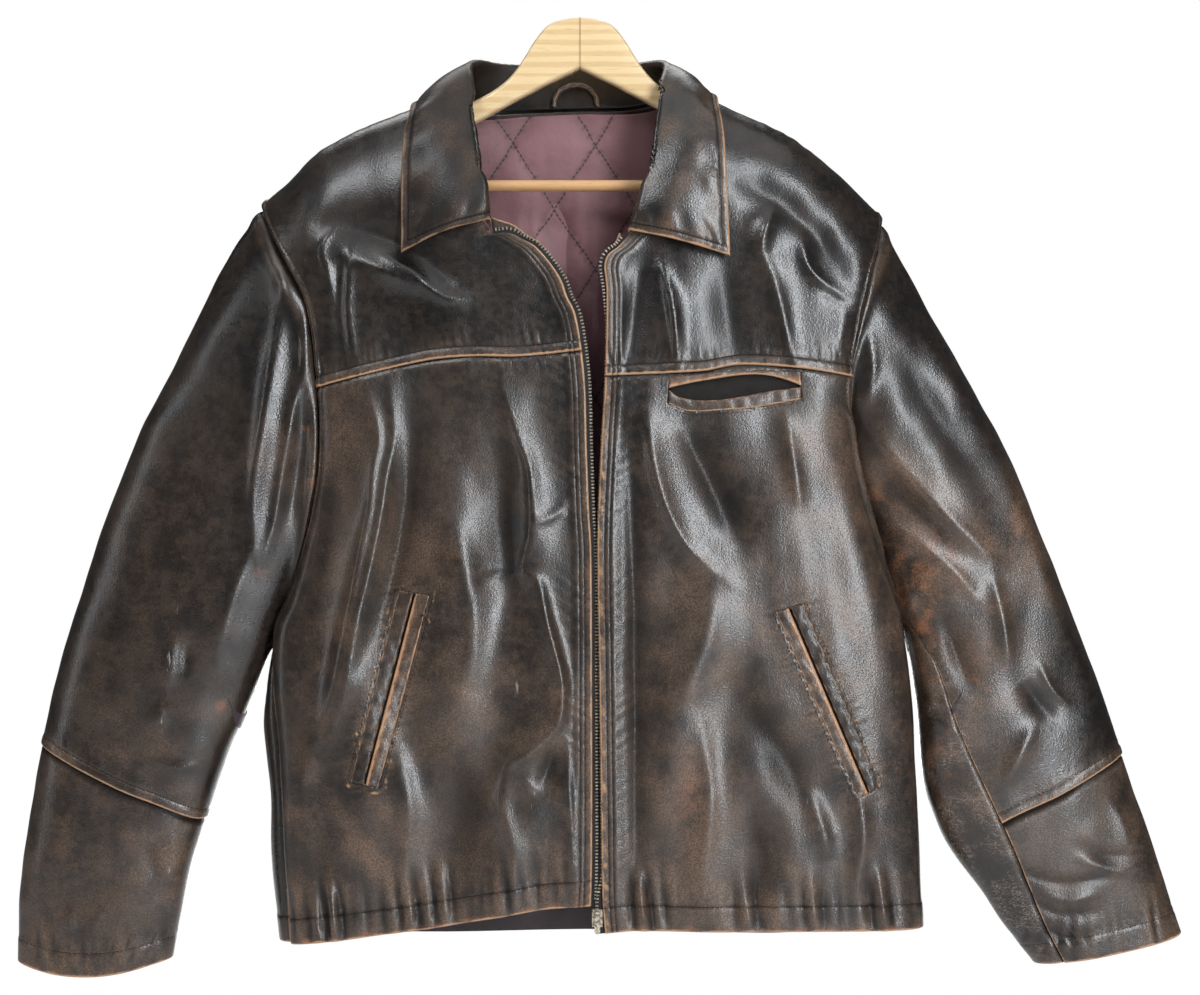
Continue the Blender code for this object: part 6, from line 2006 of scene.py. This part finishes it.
def collar_table():
    curve, length, back_start, back_end = neck_curve()
    spans = {"right": (0, back_start), "back": (back_start, back_end), "left": (length[-1], back_end)}
    rows = [[between(*spans[edge], share), *rest] for edge, share, *rest in COLLAR]
    spread = along(rows, np.linspace(0, 1, 121))
    bases = np.stack([np.interp(spread[:, 0], length, curve[:, k]) for k in range(3)], 1)
    stands, falls = spread[:, 1:4], spread[:, 4:]
    ends = zip(bases, stands, falls, np.gradient(stands, axis=0))
    table = np.stack([collar_section(*end) for end in ends], 1)
    table[6:] = lifted_off(table[6:])
    for _ in range(3):
        table[:, 1:-1] = (table[:, :-2] + 2 * table[:, 1:-1] + table[:, 2:]) / 4
    return table


def build_collar():
    table = collar_table()
    across = ticks(COLLAR_SIZE[0], 2.4, NEAR_COLLAR, NEAR_COLLAR)
    up = ticks(COLLAR_SIZE[1], 2.2, (0, 1, 2.5), NEAR_COLLAR)
    base, _, rise = evened(lambda u, v: cubic(table, u, v), across, up, (61, 121))
    where = (base[..., 0], base[..., 1], base[..., 2])
    from_end = np.minimum(across, across[-1] - across)[None]
    from_foot, from_fall = up[:, None], (up[-1] - up)[:, None]
    from_rim = np.minimum(from_fall, from_end)
    run = np.where(from_fall < from_end, across[None], from_foot)
    on_fold = bell(rise - FOLD_AT, 0.10)
    on_fall = smoothstep(0.38, 0.50, rise)

    relief = 0.6 * waves(60, 501, *where) + 0.12 * waves(20, 502, *where) + rounded(from_rim, 1.8)
    relief += stitched(from_rim, COLLAR_ROW, run, 503, 0.6, 0.55, 7) * np.clip(on_fall + 0.6, 0, 1)
    relief += 0.5 * puckers(across[None], 504, 14) * on_fold
    relief += 0.9 * bell(from_rim - 14, 9) * on_fall * waves(45, 505, run)

    brown = strongest(
        0.75 * on_fold * (0.7 + 0.4 * waves(30, 506, across[None])), 0.5 * bell(from_rim, 8),
        on_fall * np.clip(0.25 + 0.5 * waves(40, 507, *where), 0, 1),
    )
    rub = strongest(bell(from_rim, 2.4) * (0.85 + 0.3 * waves(30, 508, run)),
                    0.42 * bell(rise - FOLD_AT, 0.045) * (0.8 + 0.5 * waves(24, 509, across[None])))
    # Painted shading: along the stitch row, near the foot under the fall, and over the whole wearer's right
    # side (at -X), darker and duller there.
    shade = (0.55 * bell(from_rim - COLLAR_ROW, 1.1) + 0.4 * smoothstep(12, 2, from_foot)
             + 0.5 * smoothstep(-10, -50, base[..., 0]))
    layers = wear(relief, rub, brown, 0.25 * bell(from_rim, 4), 0.2 * on_fold, shade)
    face = leather_piece(
        "collar", "dark_leather", base, relief, ("dark_leather",), layers, (700, 120),
        area=0.058,
        outside=np.array([0.0, 0.0, 1.0]), thickness=COLLAR_LEATHER)
    row = nearest(up, up[-1] - COLLAR_ROW)
    first = nearest(across, COLLAR_ROW)
    last = len(across) - 1 - first
    stitch_row(*face[:, row, first:last])
    start = nearest(rise[:, first], 0.42)
    for column in (first, last):
        stitch_row(*face[:, start:row, column])


LOOP = [(-23, -69), (-20, -58), (-10, -51), (3, -51), (12, -58), (15, -69)]
LOOP_RADIUS = 2.2
LOOP_TWIST = 9.0          # length of half a turn of the rolled strip
LOOP_SIDES = 16


def build_loop():
    path = along(LOOP, np.linspace(0, 1, 90))
    depth = np.full(len(path), NECK_SEAM_DEPTH - LOOP_RADIUS - LAYER_GAP)
    path = np.stack([path[:, 0], depth, path[:, 1]], 1)
    turned = run_of(path)[:, None] * math.pi / LOOP_TWIST
    angles = np.linspace(0, 2 * math.pi, LOOP_SIDES, endpoint=False)[None]
    radius = LOOP_RADIUS * 0.93 + 0.16 * np.cos(angles * 2 - turned * 2)
    obj = tube("hanging_loop_cord", path, radius, LOOP_SIDES, LOOKS["loop_leather"])
    spread = (np.abs(np.cos(angles - turned)) ** 8).reshape(-1)
    set_layers(obj, {"rub": 0.5 * spread, "brown": 0.9, "orange": 0.35 * spread}, spread.shape)
    place(obj, "worn_leather", "hanging_loop")


# ---------------------------------------------------------------- slider and hanger

SOLID_ROUNDING = {"zip_slider": 0.45, "pull_tab": 0.25}
BOARD_OUTLINE = [
    # out, top, low
    (0, 0, -43), (14, -2, -50), (27, -7, -56), (38, -20, -62), (46, -33, -66), (55, -46, -71),
    (66, -57, -77),
    (86, -69, -88), (122, -85, -106), (151, -97, -120), (185, -114, -137), (204, -128, -149),
    (217, -139, -157), (225, -152, -161),
]
BOARD_THICK = 14.0
BOARD_ROUND = 4.5
BAR_RADIUS = 4.8
BAR_HEIGHT = -141.0
BAR_HALF_LENGTH = 214.0
# Rounded ends of the bar: distance from the end, how much thinner
BAR_END = [(0, 1.2), (0.6, 0.35)]


def build_slider():
    """The slider and its tab keep their solid forms, in cast metal with rounded edges."""
    for name, width in SOLID_ROUNDING.items():
        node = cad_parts[name]
        for node_slot in node.material_slots:
            node_slot.material = LOOKS["zip_metal"]
        modifier = node.modifiers.new("rounding", "BEVEL")
        modifier.width = width * MM
        modifier.segments = 3
        modifier.limit_method = "ANGLE"
        modifier.angle_limit = 0.6


def build_hanger():
    """Flat wooden board with rounded edges, and the bar between its arms."""
    fine = along(BOARD_OUTLINE, np.linspace(0, 1, 90))
    top, low = (np.vstack([fine[::-1][:, [0, k]] * [-1, 1], fine[1:, [0, k]]]) for k in (1, 2))
    most = (np.linalg.norm(top - low, axis=1) / 2 - 0.3)[:, None]
    toward = unit(low - top)
    turn = np.linspace(0, math.pi / 2, 7)
    depths = BOARD_THICK / 2 - BOARD_ROUND * (1 - np.sin(turn))
    insets = BOARD_ROUND * (1 - np.cos(turn))
    rings = []
    for edge, way, front in ((top, 1, -1), (top, 1, 1), (low, -1, 1), (low, -1, -1)):
        order = slice(None, None, 1 if front * way > 0 else -1)
        for depth, inset in zip(depths[order], insets[order]):
            line = edge + way * toward * np.minimum(inset, most)
            rings.append(np.stack([line[:, 0], np.full(len(line), front * depth), line[:, 1]], 1))
    rings = np.stack(rings, 1)
    board = capped("hanger_board_wood", rings, rings[[0, -1]].mean(1), LOOKS["board_wood"])
    tidy_mesh(board)
    place(board, "board_wood", "hanger_board")

    ends = [BAR_HALF_LENGTH - gap for gap, _ in BAR_END]
    straight = np.linspace(1.5 - BAR_HALF_LENGTH, BAR_HALF_LENGTH - 1.5, 60)
    x = np.concatenate([-np.array(ends), straight, ends[::-1]])
    radius = np.full((len(x), 1), BAR_RADIUS)
    for k, (_, thinner) in enumerate(BAR_END):
        radius[[k, -1 - k]] -= thinner
    path = np.stack([x, 0 * x, np.full(len(x), BAR_HEIGHT)], 1)
    place(tube("hanger_bar_wood", path, radius, 40, LOOKS["bar_wood"]), "bar_wood", "hanger_bar")


# ---------------------------------------------------------------- stage

FLOOR = -1.1                         # metres, as all of the stage
FLOOR_HALF = 6.0
WORLD = 0.04
MIRRORED_WORLD = 0.05
AIM = (0, 0, -0.42)
COOL = (0.92, 0.96, 1.0)
COOLISH = (0.94, 0.97, 1.0)
NEUTRAL = (1, 1, 1)
# Lamps: place, size, power, colour, and whether gloss mirrors them
LAMPS = {
    "window": ((1.0, -2.1, 0.15), (0.36, 2.3), 56, COOL, True),
    "upper_left": ((-0.8, -1.7, 1.15), (0.7, 0.7), 15, COOLISH, True),
    "strip_left": ((-1.9, -0.9, 0.0), (0.25, 1.7), 5, COOLISH, True),
    "overhead": ((0.1, -0.7, 1.5), (2.2, 1.2), 9, NEUTRAL, True),
    "behind_right": ((1.1, 2.1, 0.5), (0.7, 1.5), 26, COOLISH, False),
    "behind_left": ((-1.2, 2.0, 0.2), (0.6, 1.6), 20, NEUTRAL, False),
    "behind_above": ((-0.2, 1.3, 2.1), (2.2, 1.4), 30, NEUTRAL, True),
    "behind_low": ((0.3, 2.1, -0.78), (1.1, 0.4), 12, NEUTRAL, True),
}
CAMERA = (0.0168, -1.8, -0.4028)
CAMERA_LENS = 64.29
CAMERA_SENSOR = 36


def make_floor_look():
    """Pale floor that takes the shadow near the coat and fades to white away from it."""
    look = start_look("floor")
    pale = look.add("ShaderNodeBsdfDiffuse", {"Color": (0.86, 0.86, 0.86, 1)})
    white = look.add("ShaderNodeEmission", {"Color": (1, 1, 1, 1), "Strength": 1.0})
    away = look.value("ShaderNodeVectorMath", {0: look.where}, "Value", operation="LENGTH")
    share = away.ramp(0.60, 1.15, 0.45, 1.0) * look.add("ShaderNodeLightPath").outputs["Is Camera Ray"]
    shader = look.add("ShaderNodeMixShader", {0: share, 1: pale.outputs[0], 2: white.outputs[0]})
    look.add("ShaderNodeOutputMaterial", {"Surface": shader.outputs[0]})
    return look.owner


def build_floor():
    corners = np.array([[-1, -1, 0], [1, -1, 0], [1, 1, 0], [-1, 1, 0]]) * FLOOR_HALF / MM
    floor = make_object("floor", corners, [np.array([[0, 1, 2, 3]])], make_floor_look(), smooth=False)
    floor.location = (0, 0, FLOOR)


def build_world():
    """White to the camera and through glass, nearly dark to gloss and dim to everything else."""
    sky = Look(bpy.data.worlds.new("studio"))
    rays = sky.add("ShaderNodeLightPath").outputs
    mirrored = sky.maths("MULTIPLY", rays["Is Glossy Ray"], MIRRORED_WORLD)
    clear = sky.greatest(rays["Is Camera Ray"], rays["Is Transmission Ray"], mirrored)
    shader = sky.add("ShaderNodeBackground", {
        "Color": (1, 1, 1, 1), "Strength": clear * (1.0 - WORLD) + WORLD})
    sky.add("ShaderNodeOutputWorld", {"Surface": shader.outputs[0]})
    bpy.context.scene.world = sky.owner


def build_lamps():
    for name, (at, size, power, colour, mirrored) in LAMPS.items():
        lamp = bpy.data.lights.new(name, "AREA")
        lamp.shape = "RECTANGLE"
        lamp.size, lamp.size_y = size
        lamp.energy = power
        lamp.color = colour
        obj = bpy.data.objects.new(name, lamp)
        bpy.context.scene.collection.objects.link(obj)
        obj.location = at
        obj.rotation_euler = (Vector(AIM) - Vector(at)).to_track_quat("-Z", "Y").to_euler()
        obj.visible_glossy = mirrored


def build_camera():
    data = bpy.data.cameras.new("camera")
    data.sensor_width = CAMERA_SENSOR
    data.lens = CAMERA_LENS
    data.clip_end = 50
    camera = bpy.data.objects.new("camera", data)
    bpy.context.scene.collection.objects.link(camera)
    camera.location = CAMERA
    camera.rotation_euler = (math.pi / 2, 0, 0)
    bpy.context.scene.camera = camera
    bpy.context.scene.view_settings.view_transform = "Standard"


def main():
    for side in ("right", "left"):
        face = build_lower_front(side)
        build_yoke(side)
        build_zip(side)
        build_hand_pocket(side, face)
        for part in SLEEVE_PIECES:
            build_sleeve_piece(side, part)
    build_chest_pocket(face)
    build_back()
    build_lining()
    build_collar()
    build_loop()
    build_slider()
    build_hanger()
    build_stitches()
    build_floor()
    build_world()
    build_lamps()
    build_camera()


main()
